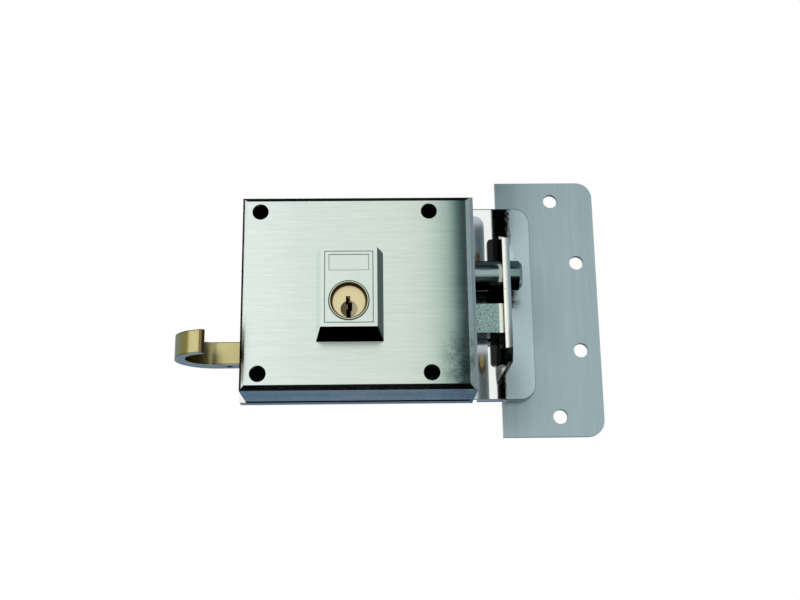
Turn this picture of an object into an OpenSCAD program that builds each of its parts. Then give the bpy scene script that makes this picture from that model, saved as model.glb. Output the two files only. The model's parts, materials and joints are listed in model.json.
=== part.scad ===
// Surface mounted rim lock with a round bolt, a sprung latch, a pull hook, a key cylinder and a keeper.
// X runs right, Z runs up and the front faces -Y. The door is the plane y = 0, and "depth" below is the
// distance in front of it. The origin is the middle of the four fixing holes on the door plane.

/* [Case] */
// Width of the lock case, front plate included
case_w = 94.1; // [92:0.1:104]
// Height of the lock case
case_h = 80; // [79:0.5:92]
// Depth of the lock case from the door to its front face
case_d = 34; // [33:0.5:40]
// Depth of the base tray
base_d = 9; // [8.8:0.1:10]
// Thickness of the base tray's floor
floor_t = 2; // [1.5:0.1:2.5]
// Depth of the full width foot of the base tray
foot_d = 5.6; // [4:0.2:6.4]
// Reach of the tray's foot beyond the left side of the cover
foot_left = 2.9; // [1:0.1:4]
// Step in from the foot to the tray's rim
rim_step = 0.8; // [0.5:0.1:0.9]
// Wall thickness of the base tray's rim
rim_t = 1.2; // [0.8:0.1:1.2]
// Sheet thickness of the cover
cover_t = 1.5; // [1:0.1:1.8]
// Width of the bevel round the cover's face
bevel_w = 2; // [1:0.1:3]
// Depth of the bevel round the cover's face
bevel_d = 2; // [1:0.1:3]
// Thickness of the front plate that the bolts pass through
plate_t = 1.2; // [1:0.1:2]
// Reach of the front plate's lip over the keeper
lip_w = 6.5; // [3:0.5:6.5]
// Thickness of the lip
lip_t = 1.5; // [1:0.1:1.5]
// Radius of the lip's upper corner
lip_r = 4.5; // [1:0.5:5]

/* [Fixing holes] */
// Distance between the fixing holes across the case
fix_dx = 68.5; // [67:0.5:70]
// Distance from the case's top and bottom to the fixing holes
fix_edge = 6.5; // [6.3:0.1:8]
// Diameter of the fixing holes
fix_hole = 6.6; // [4:0.1:6.8]
// Distance from the case's left side to the left fixing holes
fix_left = 7.35; // [7.25:0.05:9]
// Wall thickness of the spacer tubes
tube_wall = 1; // [0.8:0.1:1.1]

/* [Key cylinder] */
// Place of the cylinder across the case
cyl_x = 2; // [0:0.5:3]
// Place of the cylinder up the case
cyl_z = -8.1; // [-9.5:0.1:-7.5]
// Diameter of the cylinder body
cyl_dia = 15.8; // [15.2:0.1:16.4]
// Diameter of the plug
plug_dia = 13.1; // [12.5:0.1:13.4]
// Height of the pin chamber above the cylinder's axis
chamber_h = 14.2; // [13.6:0.1:15]
// Width of the pin chamber
chamber_w = 6.4; // [5:0.1:7]
// Height of the keyway
keyway_h = 8.4; // [7:0.1:8.8]
// Width of the keyway
keyway_w = 1.7; // [1.2:0.1:2.2]
// Number of pins
pin_count = 5; // [3:1:6]
// Distance from pin to pin
pin_pitch = 3.6; // [3.2:0.1:3.6]
// Diameter of the pins
pin_dia = 2.6; // [2:0.1:3]
// Rise of the cylinder housing above the cover
housing_rise = 15.5; // [12:0.5:18]
// Width of the housing's top face
housing_w = 22; // [21:0.5:26]
// Height of the housing's top face
housing_h = 31.8; // [31:0.2:36]
// Width of the slopes round the housing
slope_w = 2.4; // [1.5:0.1:3]

/* [Bolt and latch] */
// Travel of the bolt, the latch and the pull hook
travel = 16; // [10:0.5:16]
// Diameter of the round bolt
bolt_dia = 12.6; // [10:0.1:12.8]
// Height of the round bolt's axis
bolt_z = 11; // [10.8:0.1:12]
// Depth of the round bolt's axis
bolt_depth = 16; // [15.6:0.1:16.4]
// Reach of the round bolt beyond the front plate
bolt_reach = 20.7; // [19:0.1:24]
// Height of the latch bolt
latch_h = 12.8; // [10:0.2:13]
// Height of the latch bolt's middle
latch_z = -8.2; // [-8.8:0.1:-8]
// Depth of the latch bolt's front face
latch_front = 20; // [19:0.2:20.4]
// Thickness of the latch bolt
latch_t = 10.4; // [9:0.2:10.4]
// Reach of the latch bolt beyond the front plate
latch_reach = 15.5; // [14.5:0.5:18]
// Diameter of the latch's stem
stem_dia = 5; // [4:0.1:5.4]
// Wire diameter of the springs
wire = 0.9; // [0.7:0.05:1.1]
// Number of turns in the return spring
return_turns = 15; // [8:1:18]
// Number of turns in the latch spring
latch_turns = 8; // [5:1:10]

/* [Pull hook] */
// Width of the hook's strap
hook_w = 9.6; // [8:0.2:10]
// Height of the hook's middle
hook_z = -20.3; // [-21:0.1:-20]
// Thickness of the strap where it enters the case
strap_t = 8; // [6:0.2:8]
// Depth of the strap's back face
strap_back = 4; // [3:0.1:4.4]
// Reach of the hook beyond the case
hook_reach = 27.6; // [22:0.1:34]
// Depth of the whole hook, back face to front face
hook_d = 31.4; // [26:0.2:36]
// Thickness of the hook's bend at its left side
bend_t = 4.5; // [3.5:0.1:5]
// Thickness of the hook's front leg
tip_t = 3; // [2.4:0.1:4]
// Length of the front leg, bend included
tip_reach = 13.9; // [12:0.1:18]
// Diameter of the cross hole through the strap
cross_hole = 2; // [1:0.1:3]
// Distance from the case to the cross hole
cross_out = 6.9; // [5:0.1:9]

/* [Keeper] */
// Gap from the front plate to the keeper's standing tab
tab_gap = 12.4; // [10:0.2:13]
// Thickness of the tab angle
tab_t = 1.7; // [1.4:0.1:2.2]
// Height of the tab's front edge above the door
tab_d = 34; // [30:0.5:38]
// Top end of the tab at its foot
tab_top = 29.3; // [28:0.1:32]
// Bottom end of the tab
tab_bottom = -29; // [-32:0.1:-28]
// Width of the angle's foot beside the tab
foot_w = 4.7; // [4:0.1:5]
// Inner radius of the angle's bend
angle_r = 2.5; // [1:0.1:2.8]
// Width of the keeper plate
keeper_w = 24.8; // [22:0.1:30]
// Rise of the keeper plate above the top of the case
keeper_rise = 4; // [0:0.5:8]
// Depth of the keeper plate's front face
keeper_d = 7; // [6:0.1:7.2]
// Sheet thickness of the keeper plate
keeper_t = 1.6; // [1:0.1:2]
// Radius of the keeper plate's outer corners
keeper_r = 6.5; // [4:0.5:9]
// Width of the strike plate
strike_w = 42.7; // [36:0.1:50]
// Height of the strike plate
strike_h = 112.4; // [108:0.1:120]
// Thickness of the strike plate
strike_t = 2; // [1.5:0.1:3]
// Height of the strike plate's middle
strike_z = 1.3; // [0:0.1:3]
// Radius of the strike plate's outer corners
strike_r = 7; // [4:0.5:9]
// Diameter of the strike plate's holes
strike_hole = 6; // [4:0.1:6.5]
// Distance from the strike plate's top and bottom to its outer holes
outer_edge = 8.5; // [6:0.1:12]
// Place of the two outer holes from the strike plate's left edge
outer_x = 24.3; // [20:0.1:26]
// Distance between the two inner holes of the strike plate
inner_dz = 38.8; // [30:0.1:50]
// Place of the two inner holes from the strike plate's left edge
inner_x = 34.4; // [30:0.1:36]

/* [Hidden] */
$fn = 64;

// Clearances shared by the fits
run_gap = 0.05;
slip_gap = 0.15;
seat_gap = 0.3;
cut = 1;

// Edges of the case
case_left = -fix_dx / 2 - fix_left;
case_right = case_left + case_w;
case_top = case_h / 2;
inside_right = case_right - plate_t;
fix_dz = case_h - 2 * fix_edge;
plate_d = case_d - bevel_d;
cover_back = case_d - cover_t;
slot_len = 4;

// Bevel of the cover, whose sheet has the same thickness across the slope as elsewhere
bevel_len = sqrt(bevel_w * bevel_w + bevel_d * bevel_d);
function bevel_start(inset) = case_d - bevel_d - inset * (bevel_len - bevel_d) / bevel_w;
function bevel_edge(inset) = bevel_w + inset * (bevel_len - bevel_w) / bevel_d;
function bevel_end(inset) = case_d - bevel_d - inset * bevel_len / bevel_w;

// End of the spacer tubes, chamfered where they would meet the cover's bevel
tube_dia = fix_hole + 2 * tube_wall;
tube_chamfer = max(0.1, fix_dz / 2 + tube_dia / 2 + run_gap - case_top + bevel_edge(cover_t));
tube_chamfer_d = tube_chamfer * bevel_d / bevel_w;

// Posts and screws that hold the cover
post_dia = 7;
post_inset = bevel_edge(cover_t) + post_dia / 2 + slip_gap;
post_left = -8;
post_right = 22;
screw_dia = 3;
screw_len = 12;
screw_head = 5.8;
post_z = case_top - post_inset;
post_places = [[post_left, post_z], [post_right, post_z], [post_left, -post_z], [post_right, -post_z]];

// Key cylinder, from its back end to its front
cyl_back = 26;
ring_proud = 0.4;
plug_drop = 2.5;
cyl_front = case_d + housing_rise + ring_proud;
plug_front = cyl_front - plug_drop;
recess_d = plug_drop + 0.5;
recess_w = 0.4;
recess_dia = plug_dia + 2 * recess_w;
chamber_back = cyl_back + 1;
chamber_front = case_d + housing_rise - 3;
shank_dia = 7;
cam_t = 3;
cam_gap = 0.3;
cam_front = cyl_back - cam_gap;
cam_back = cam_front - cam_t;
cam_head_t = 1.4;
cam_head = 8.5;
clip_t = 1.2;
clip_w = 1.4;
clip_groove = 0.4;
keyway_top = 2.2;
shear = plug_dia / 2;
first_pin = 1.9;
pin_cap = 0.8;
pin_front = chamber_front - first_pin;
pin_depths = [for (i = [0 : pin_count - 1]) pin_front - i * pin_pitch];
key_cuts = [0.4, 1.2, 0.7, 1.5, 0.9, 0.5];
driver_len = 3.2;
disc_dia = 6.4;
disc_drop = 2.9;
disc_t = 1.2;

// Housing, centred across on the cylinder and above it
housing_up = 5.5;
housing_z = cyl_z + housing_up;
line_inset = 1.5;
line_w = 0.3;
line_d = 0.25;
label_w = 15.4;
label_h = 6.3;
label_up = 9.8;
label_z = housing_z + label_up;
label_d = 0.25;
hscrew_dx = 17.4;
hscrew_top = 13.6;
hscrew_low = -15;
hscrew_dia = 3;
hscrew_len = 7;
hscrew_places = [for (side = [-1, 1], z = [hscrew_top, hscrew_low])
                 [cyl_x + side * hscrew_dx / 2, housing_z + z]];

// Carriage plate that joins the hook to the bolt
carriage_back = strap_back + strap_t;
carriage_t = bolt_depth - 1 - carriage_back;
carriage_front = carriage_back + carriage_t;
spine_left = -22;
spine_w = 14;
upper_arm_w = 12;
upper_arm_end = 30;
lower_arm_w = hook_w;
lower_arm_end = 22;
bolt_tail = 18;
tail_len = upper_arm_end - bolt_tail;
bolt_tip = case_right + bolt_reach;
bolt_chamfer = 1.2;
bolt_screw_dia = 4;
bolt_screw_head = 7;
bolt_screw_head_t = 2.2;
bolt_screw_len = 8;

// Cam lug, set so that the cam tip meets it without biting over the whole quarter turn
cam_r = travel / sqrt(2);
cam_tip_r = 2.4;
lug_gap = 0.5;
lug_right = cyl_x + cam_r * cos(112.5) - cam_tip_r + travel * 0.75 - lug_gap;
lug_w = 4;
lug_low = cyl_z + cam_r * sin(45) + 1.6;
lug_front = cyl_back;

// Studs that the carriage slides on
stud_dia = 5;
stud_foot = 8;
stud_end = carriage_front + 2.2;
washer_t = 0.8;
sclip_t = 0.7;
washer_front = carriage_front + 0.1 + washer_t;
upper_stud_x = -14;
lower_stud_x = -1;
stud_places = [[upper_stud_x, bolt_z], [lower_stud_x, hook_z]];

// Latch
latch_back = latch_front - latch_t;
latch_tip = case_right + latch_reach;
latch_inside = 10.3;
latch_tail = inside_right - latch_inside;
latch_bevel = 7.5;
latch_edge = 1.2;
guide_len = 8;
guide_wall = 2;
bush_wall = 2.4;
stem_depth = latch_front - latch_t / 2;
stem_left = 5;
stem_clip_x = 6.2;
stem_clip_t = 1.6;
stem_clip_dia = 8;
fork_x = stem_clip_x + stem_clip_t + 0.6;
fork_t = 3;
fork_root = 0.4;
fork_top = latch_z + 5;
fork_back = carriage_back - 3;
fork_front = stem_depth + 4;
bracket_x = 14;
bracket_t = 3;
bracket_w = 9;
latch_spring_dia = 7;

// Return spring on its rod, midway between the carriage and the cover posts
rod_dia = 4;
rod_z = (bolt_z + upper_arm_w / 2 + post_z - post_dia / 2) / 2;
rod_gap = 2;
rod_depth = carriage_front + rod_gap;
rod_inset = 3;
rod_left = case_left + rod_inset;
rod_right = 20;
rod_bracket_t = 3;
rod_bracket_w = 6.8;
push_x = 6;
push_t = 3;
push_front = rod_depth + 5;
return_spring_dia = 6.6;

// Hook
hook_left = case_left - hook_reach;
hook_back = strap_back;
strap_end = -7;
rivet_dia = 4;
rivet_places = [-18, -11];
cross_x = case_left - cross_out;
bend_r = hook_d / 2;
bend_x = hook_left + bend_r;
bend_mid = hook_back + bend_r;
hollow_r = (hook_d - strap_t - tip_t) / 2;
hollow_x = hook_left + bend_t + hollow_r;
hollow_mid = hook_back + strap_t + hollow_r;
tip_x = hook_left + tip_reach - tip_t / 2;
tip_front = bend_mid + sqrt(bend_r ^ 2 - (tip_x - bend_x) ^ 2);
tip_back = hollow_mid + sqrt(hollow_r ^ 2 - (tip_x - hollow_x) ^ 2);

// Keeper
tab_x = case_right + tab_gap;
tab_right = tab_x + tab_t;
keeper_gap = 1.5;
keeper_left = case_right + keeper_gap;
keeper_top = case_top + keeper_rise;
keeper_bottom = -case_top;
strike_bottom = strike_z - strike_h / 2;
outer_dz = strike_h - 2 * outer_edge;
tab_slope = 7.5;
tab_slope_d = 20.5;
tab_nip = 5.3;
tab_nip_d = 3;
foot_top = tab_top + 0.2;
foot_bottom = tab_bottom + 3.2;
foot_corner = 1.6;
tab_hole = bolt_dia + 1;
slot_top = latch_z + latch_h / 2 + 0.6;
slot_bottom = latch_z - latch_h / 2 - 4.2;
slot_front = latch_front + 1.7;
slot_back = latch_back - 0.5;
slot_r = 1.6;
kstud_dia = 4;
kstud_x = tab_right + 6;
kstud_edge = 7;
kstud_places = [keeper_top - kstud_edge, keeper_bottom + kstud_edge];

// Extrudes an outline drawn in X and Z between two depths
module slab(d0, d1) {
    translate([0, -d0, 0]) rotate([90, 0, 0]) linear_extrude(d1 - d0) children();
}

// Extrudes an outline drawn in depth and Z along X
module slice(x0, x1) {
    translate([x0, 0, 0]) rotate([0, 0, -90]) rotate([90, 0, 0]) mirror([0, 0, 1])
        linear_extrude(x1 - x0) children();
}

// Extrudes an outline drawn in X and depth up Z
module stack(z0, z1) {
    translate([0, 0, z0]) linear_extrude(z1 - z0) mirror([0, 1]) children();
}

// Round bar that stands out from the door
module peg(x, z, d0, d1, dia) {
    translate([x, -d0, z]) rotate([90, 0, 0]) cylinder(h = d1 - d0, d = dia);
}

// Round bar that lies along X
module bar(x0, x1, depth, z, dia) {
    translate([x0, -depth, z]) rotate([0, 90, 0]) cylinder(h = x1 - x0, d = dia);
}

// Box between two places across, two depths and two heights
module block(x0, x1, d0, d1, z0, z1) {
    translate([x0, -d1, z0]) cube([x1 - x0, d1 - d0, z1 - z0]);
}

// Countersunk screw driven in from the door side
module back_screw(x, z, d0, head, dia, length) {
    translate([x, -d0, z]) rotate([90, 0, 0]) cylinder(h = (head - dia) / 2, d1 = head, d2 = dia);
    peg(x, z, d0, d0 + length, dia);
}

// Rectangle with round corners on the right, drawn from its lower left corner
module right_round(w, h, r) {
    square([w - r, h]);
    translate([0, r]) square([w, h - 2 * r]);
    translate([w - r, r]) circle(r);
    translate([w - r, h - r]) circle(r);
}

// Outline of the case without its front plate, drawn in X and Z
module case_outline(inset) {
    translate([case_left + inset, -case_top + inset])
        square([inside_right - case_left - inset, case_h - 2 * inset]);
}

// Solid of the cover's shape, set in from its outside by a sheet thickness
module cover_solid(inset) {
    back = base_d - (inset > 0 ? cut : 0);
    face = case_d - inset;
    left = case_left + inset;
    top = case_top - inset;
    edge = bevel_edge(inset);
    start = bevel_start(inset);
    intersection() {
        slice(case_left, inside_right)
            polygon([[back, -top], [start, -top], [face, edge - case_top],
                     [face, case_top - edge], [start, top], [back, top]]);
        stack(-case_top, case_top)
            polygon([[left, 0], [left, start], [case_left + edge, face], [inside_right - edge, face],
                     [inside_right, bevel_end(inset)], [inside_right, 0]]);
    }
}

// Round hole and chamber slot that the key cylinder passes through
module cylinder_hole(d0, d1, gap) {
    peg(cyl_x, cyl_z, d0, d1, cyl_dia + 2 * gap);
}

module chamber_hole(d0, d1, gap) {
    block(cyl_x - chamber_w / 2 - gap, cyl_x + chamber_w / 2 + gap, d0, d1, cyl_z, cyl_z + chamber_h + gap);
}

module base_tray() {
    color("slategray") difference() {
        union() {
            slab(0, foot_d) translate([case_left - foot_left, -case_top])
                square([inside_right - case_left + foot_left, case_h]);
            slab(0, base_d) case_outline(rim_step);
        }
        slab(floor_t, base_d + cut) translate([case_left + rim_step + rim_t, -case_top + rim_step + rim_t])
            square([case_w, case_h - 2 * (rim_step + rim_t)]);
        fixing_holes(-cut, floor_t + cut);
        for (p = post_places) {
            peg(p[0], p[1], -cut, floor_t + cut, screw_dia + 2 * slip_gap);
            translate([p[0], cut, p[1]]) rotate([90, 0, 0])
                cylinder(h = cut + (screw_head - screw_dia) / 2 + slip_gap,
                         d1 = screw_head + 2 * (cut + slip_gap), d2 = screw_dia + 2 * slip_gap);
        }
        hook_slot();
    }
}

// Slot in the case's left side that the hook's strap slides through
module hook_slot() {
    block(case_left - foot_left - cut, case_left + slot_len,
          strap_back - seat_gap, strap_back + strap_t + seat_gap,
          hook_z - hook_w / 2 - seat_gap, hook_z + hook_w / 2 + seat_gap);
}

module fixing_holes(d0, d1) {
    for (x = [-1, 1], z = [-1, 1]) peg(x * fix_dx / 2, z * fix_dz / 2, d0, d1, fix_hole);
}

module cover() {
    color("lightgray") difference() {
        cover_solid(0);
        cover_solid(cover_t);
        fixing_holes(cover_back - cut, case_d + cut);
        cylinder_hole(cover_back - cut, case_d + cut, slip_gap);
        chamber_hole(cover_back - cut, case_d + cut, slip_gap);
        for (p = hscrew_places) peg(p[0], p[1], cover_back - cut, case_d + cut, hscrew_dia + 2 * slip_gap);
        hook_slot();
    }
}

module front_plate() {
    lip_front = base_d;
    color("lightsteelblue") difference() {
        union() {
            block(inside_right, case_right, 0, plate_d, -case_top, case_top);
            slab(lip_front - lip_t, lip_front) translate([case_right, -case_top]) {
                square([lip_w - lip_r, case_h]);
                square([lip_w, case_h - lip_r]);
                translate([lip_w - lip_r, case_h - lip_r]) circle(lip_r);
            }
        }
        bar(inside_right - cut, case_right + cut, bolt_depth, bolt_z, bolt_dia + 2 * seat_gap);
        block(inside_right - cut, case_right + cut, latch_back - seat_gap, latch_front + seat_gap,
              latch_z - latch_h / 2 - seat_gap, latch_z + latch_h / 2 + seat_gap);
    }
}

module spacer_tubes() {
    color("silver") difference() {
        for (x = [-1, 1], z = [-1, 1]) translate([x * fix_dx / 2, 0, z * fix_dz / 2]) {
            peg(0, 0, floor_t, cover_back - tube_chamfer_d, tube_dia);
            translate([0, tube_chamfer_d - cover_back, 0]) rotate([90, 0, 0])
                cylinder(h = tube_chamfer_d, d1 = tube_dia, d2 = tube_dia - 2 * tube_chamfer);
        }
        fixing_holes(floor_t - cut, cover_back + cut);
    }
}

module cover_posts() {
    color("silver") difference() {
        for (p = post_places) peg(p[0], p[1], floor_t, cover_back, post_dia);
        for (p = post_places) peg(p[0], p[1], floor_t - cut, screw_len + 2 * cut, screw_dia);
    }
}

module cover_screws() {
    color("dimgray") for (p = post_places) back_screw(p[0], p[1], 0, screw_head, screw_dia, screw_len);
}

module cylinder_housing() {
    top_d = case_d + housing_rise;
    half_w = housing_w / 2;
    half_h = housing_h / 2;
    color("gainsboro") difference() {
        intersection() {
            translate([0, 0, housing_z]) slice(cyl_x - half_w - slope_w, cyl_x + half_w + slope_w)
                polygon([[case_d, -half_h - slope_w], [top_d, -half_h], [top_d, half_h],
                         [case_d, half_h + slope_w]]);
            stack(housing_z - half_h - slope_w, housing_z + half_h + slope_w)
                polygon([[cyl_x - half_w - slope_w, case_d], [cyl_x - half_w, top_d],
                         [cyl_x + half_w, top_d], [cyl_x + half_w + slope_w, case_d]]);
        }
        cylinder_hole(case_d - cut, top_d + cut, run_gap);
        chamber_hole(case_d - cut, chamber_front + slip_gap, slip_gap);
        for (p = hscrew_places) peg(p[0], p[1], case_d - cut, case_d + hscrew_len - cover_t, hscrew_dia);
        slab(top_d - line_d, top_d + cut) difference() {
            housing_frame(line_inset);
            housing_frame(line_inset + line_w);
        }
        block(cyl_x - label_w / 2, cyl_x + label_w / 2, top_d - label_d, top_d + cut,
              label_z - label_h / 2, label_z + label_h / 2);
    }
}

// Rectangle inside the housing's top face
module housing_frame(inset) {
    translate([cyl_x - housing_w / 2 + inset, housing_z - housing_h / 2 + inset])
        square([housing_w - 2 * inset, housing_h - 2 * inset]);
}

module housing_screws() {
    color("dimgray") for (p = hscrew_places) {
        peg(p[0], p[1], cover_back - 1.8, cover_back, hscrew_dia + 2.6);
        peg(p[0], p[1], cover_back, cover_back + hscrew_len, hscrew_dia);
    }
}

module cylinder_body() {
    color("silver") difference() {
        union() {
            cylinder_hole(cyl_back, cyl_front, 0);
            chamber_hole(chamber_back, chamber_front, 0);
        }
        peg(cyl_x, cyl_z, cyl_back - cut, cyl_front + cut, plug_dia + 2 * run_gap);
        peg(cyl_x, cyl_z, cyl_front - recess_d, cyl_front + cut, recess_dia);
        for (d = pin_depths) pin_bore(d, 0, chamber_h - pin_cap);
        difference() {
            peg(cyl_x, cyl_z, cover_back - clip_t - run_gap, cover_back, cyl_dia + cut);
            peg(cyl_x, cyl_z, cover_back - clip_t - cut, cover_back + cut, cyl_dia - 2 * clip_groove);
            chamber_hole(chamber_back, chamber_front, cut);
        }
    }
}

// Bore for one pin, from one height above the cylinder's axis to another
module pin_bore(depth, z0, z1) {
    translate([cyl_x, -depth, cyl_z + z0]) cylinder(h = z1 - z0, d = pin_dia + 2 * slip_gap);
}

module cylinder_clip() {
    color("dimgray") slab(cover_back - clip_t, cover_back) difference() {
        translate([cyl_x, cyl_z]) circle(cyl_dia / 2 + clip_w);
        translate([cyl_x, cyl_z]) circle(cyl_dia / 2 - clip_groove + run_gap);
        translate([cyl_x - chamber_w / 2 - 1.5, cyl_z])
            square([chamber_w + 3, cyl_dia]);
    }
}

// Stepped keyway, open at the plug's lower edge, drawn in X and Z about the cylinder's axis
module keyway_outline() {
    w = keyway_w;
    low = keyway_top - keyway_h;
    translate([-w / 2 - 0.35, -1.2]) square([w, keyway_top + 1.2]);
    translate([-w / 2 + 0.35, low + 2.4]) square([w, keyway_h - 5]);
    translate([-w / 2 - 0.15, low - cut]) square([w, 3 + cut]);
}

module cylinder_plug() {
    color("burlywood") difference() {
        union() {
            peg(cyl_x, cyl_z, cyl_back + 0.2, plug_front, plug_dia);
            peg(cyl_x, cyl_z, cam_back, cyl_back + 0.2, shank_dia);
        }
        slab(cyl_back + 3, plug_front + cut) translate([cyl_x, cyl_z]) keyway_outline();
        peg(cyl_x, cyl_z - disc_drop, plug_front - disc_t, plug_front + cut, disc_dia + 2 * run_gap);
        for (d = pin_depths) pin_bore(d, 0, plug_dia);
        peg(cyl_x, cyl_z, cam_back - cut, cam_back + 5, hscrew_dia);
    }
}

module keyway_disc() {
    color("rosybrown") difference() {
        peg(cyl_x, cyl_z - disc_drop, plug_front - disc_t, plug_front + 0.1, disc_dia);
        slab(plug_front - disc_t - cut, plug_front + cut) translate([cyl_x, cyl_z]) keyway_outline();
    }
}

module key_pins() {
    color("goldenrod") for (i = [0 : pin_count - 1]) {
        low = keyway_top - key_cuts[i];
        translate([cyl_x, -pin_depths[i], cyl_z + low]) cylinder(h = shear - seat_gap - low, d = pin_dia);
    }
}

module driver_pins() {
    color("goldenrod") for (d = pin_depths)
        translate([cyl_x, -d, cyl_z + shear + seat_gap]) cylinder(h = driver_len, d = pin_dia);
}

module pin_springs() {
    low = shear + seat_gap + driver_len + run_gap;
    high = chamber_h - pin_cap - run_gap;
    color("silver") for (d = pin_depths) translate([cyl_x, -d, cyl_z + low]) difference() {
        cylinder(h = high - low, d = pin_dia - 0.2);
        translate([0, 0, -cut]) cylinder(h = high - low + 2 * cut, d = pin_dia - 1);
    }
}

// The cam points up and to the right at rest, and turns over the top to push the carriage back
module cylinder_cam() {
    color("darkgray") difference() {
        union() {
            slab(cam_back, cam_front) translate([cyl_x, cyl_z]) rotate(45) {
                circle(shank_dia / 2 + 1.6);
                translate([0, -cam_tip_r]) square([cam_r, 2 * cam_tip_r]);
                translate([cam_r, 0]) circle(cam_tip_r);
            }
        }
        peg(cyl_x, cyl_z, cam_back - cut, cam_front + cut, shank_dia + 2 * run_gap);
    }
}

module cam_screw() {
    color("dimgray") {
        peg(cyl_x, cyl_z, cam_back - cam_head_t, cam_back, cam_head);
        peg(cyl_x, cyl_z, cam_back, cam_back + 4.5, hscrew_dia);
    }
}

// Slot in the carriage that a fixed stud runs in
module stud_slot(x, z) {
    r = stud_dia / 2 + slip_gap;
    slab(carriage_back - cut, carriage_front + cut) {
        translate([x, z]) circle(r);
        translate([x + travel, z]) circle(r);
        translate([x, z - r]) square([travel, 2 * r]);
    }
}

module carriage() {
    upper_low = bolt_z - upper_arm_w / 2;
    upper_top = bolt_z + upper_arm_w / 2;
    lower_low = hook_z - lower_arm_w / 2;
    lower_top = hook_z + lower_arm_w / 2;
    color("slategray") difference() {
        union() {
            block(spine_left, spine_left + spine_w, carriage_back, carriage_front, lower_low, upper_top);
            block(spine_left, upper_arm_end, carriage_back, carriage_front, upper_low, upper_top);
            block(spine_left, lower_arm_end, carriage_back, carriage_front, lower_low, lower_top);
            block(lug_right - lug_w, lug_right, carriage_back, lug_front, lug_low, upper_low + 1);
            block(push_x, push_x + push_t, carriage_back, push_front, upper_top - 1,
                  rod_z + rod_bracket_w / 2);
            block(fork_x, fork_x + fork_t, fork_back, fork_front, lower_top - fork_root, fork_top);
        }
        stud_slot(upper_stud_x, bolt_z);
        stud_slot(lower_stud_x, hook_z);
        bar(push_x - cut, push_x + push_t + cut, rod_depth, rod_z, rod_dia + 2 * slip_gap);
        block(fork_x - cut, fork_x + fork_t + cut, stem_depth - stem_dia / 2 - seat_gap, fork_front + cut,
              latch_z - stem_dia / 2 - seat_gap, latch_z + stem_dia / 2 + seat_gap);
        for (x = rivet_places)
            peg(x, hook_z, carriage_back - cut, carriage_front + cut, rivet_dia + 2 * run_gap);
        peg(bolt_tail + tail_len / 2, bolt_z, carriage_back - cut, carriage_front + cut,
            bolt_screw_dia + 2 * run_gap);
    }
}

module guide_studs() {
    color("silver") for (p = stud_places) {
        peg(p[0], p[1], floor_t, carriage_back - run_gap, stud_foot);
        peg(p[0], p[1], carriage_back - run_gap, stud_end, stud_dia);
    }
}

module guide_washers() {
    color("gainsboro") for (p = stud_places) difference() {
        peg(p[0], p[1], washer_front - washer_t, washer_front, stud_foot);
        peg(p[0], p[1], washer_front - washer_t - cut, washer_front + cut, stud_dia + 2 * run_gap);
    }
}

module guide_clips() {
    color("dimgray") for (p = stud_places) difference() {
        peg(p[0], p[1], washer_front, washer_front + sclip_t, stud_dia + 2.6);
        peg(p[0], p[1], washer_front - cut, washer_front + sclip_t + cut, stud_dia + 2 * run_gap);
        block(p[0] - 1.2, p[0] + 1.2, washer_front - cut, washer_front + sclip_t + cut,
              p[1] - stud_dia, p[1]);
    }
}

module round_bolt() {
    color("dimgray") difference() {
        union() {
            bar(bolt_tail, bolt_tip - bolt_chamfer, bolt_depth, bolt_z, bolt_dia);
            translate([bolt_tip - bolt_chamfer, -bolt_depth, bolt_z]) rotate([0, 90, 0])
                cylinder(h = bolt_chamfer, d1 = bolt_dia, d2 = bolt_dia - 2 * bolt_chamfer);
        }
        block(bolt_tail - cut, upper_arm_end + slip_gap, bolt_depth - bolt_dia, carriage_front,
              bolt_z - bolt_dia, bolt_z + bolt_dia);
        peg(bolt_tail + tail_len / 2, bolt_z, carriage_front - cut, carriage_back + bolt_screw_len + 0.5,
            bolt_screw_dia + 2 * run_gap);
    }
}

module bolt_screw() {
    x = bolt_tail + tail_len / 2;
    color("silver") {
        peg(x, bolt_z, carriage_back - bolt_screw_head_t, carriage_back, bolt_screw_head);
        peg(x, bolt_z, carriage_back, carriage_back + bolt_screw_len, bolt_screw_dia);
    }
}

module bolt_bush() {
    color("goldenrod") difference() {
        bar(inside_right - guide_len, inside_right, bolt_depth, bolt_z, bolt_dia + 2 * bush_wall);
        bar(inside_right - guide_len - cut, inside_right + cut, bolt_depth, bolt_z, bolt_dia + 2 * run_gap);
    }
}

module latch_bolt() {
    low = latch_z - latch_h / 2;
    color("darkseagreen") {
        stack(low, low + latch_h)
            polygon([[latch_tail, latch_back], [latch_tip - latch_bevel, latch_back],
                     [latch_tip, latch_back + latch_bevel], [latch_tip, latch_front - latch_edge / 2],
                     [latch_tip - latch_edge, latch_front], [latch_tail, latch_front]]);
        bar(stem_left, latch_tail + cut, stem_depth, latch_z, stem_dia);
    }
}

module latch_guide() {
    low = latch_z - latch_h / 2;
    color("silver") difference() {
        block(inside_right - guide_len, inside_right, latch_back - guide_wall, latch_front + guide_wall,
              low - guide_wall, low + latch_h + guide_wall);
        block(inside_right - guide_len - cut, inside_right + cut, latch_back - slip_gap,
              latch_front + slip_gap, low - slip_gap, low + latch_h + slip_gap);
    }
}

module stem_bracket() {
    color("lightsteelblue") difference() {
        block(bracket_x, bracket_x + bracket_t, floor_t, stem_depth + bracket_w / 2,
              latch_z - bracket_w / 2, latch_z + bracket_w / 2);
        bar(bracket_x - cut, bracket_x + bracket_t + cut, stem_depth, latch_z, stem_dia + 2 * run_gap);
    }
}

module stem_clip() {
    color("dimgray") difference() {
        bar(stem_clip_x, stem_clip_x + stem_clip_t, stem_depth, latch_z, stem_clip_dia);
        bar(stem_clip_x - cut, stem_clip_x + stem_clip_t + cut, stem_depth, latch_z, stem_dia + 2 * run_gap);
    }
}

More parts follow.
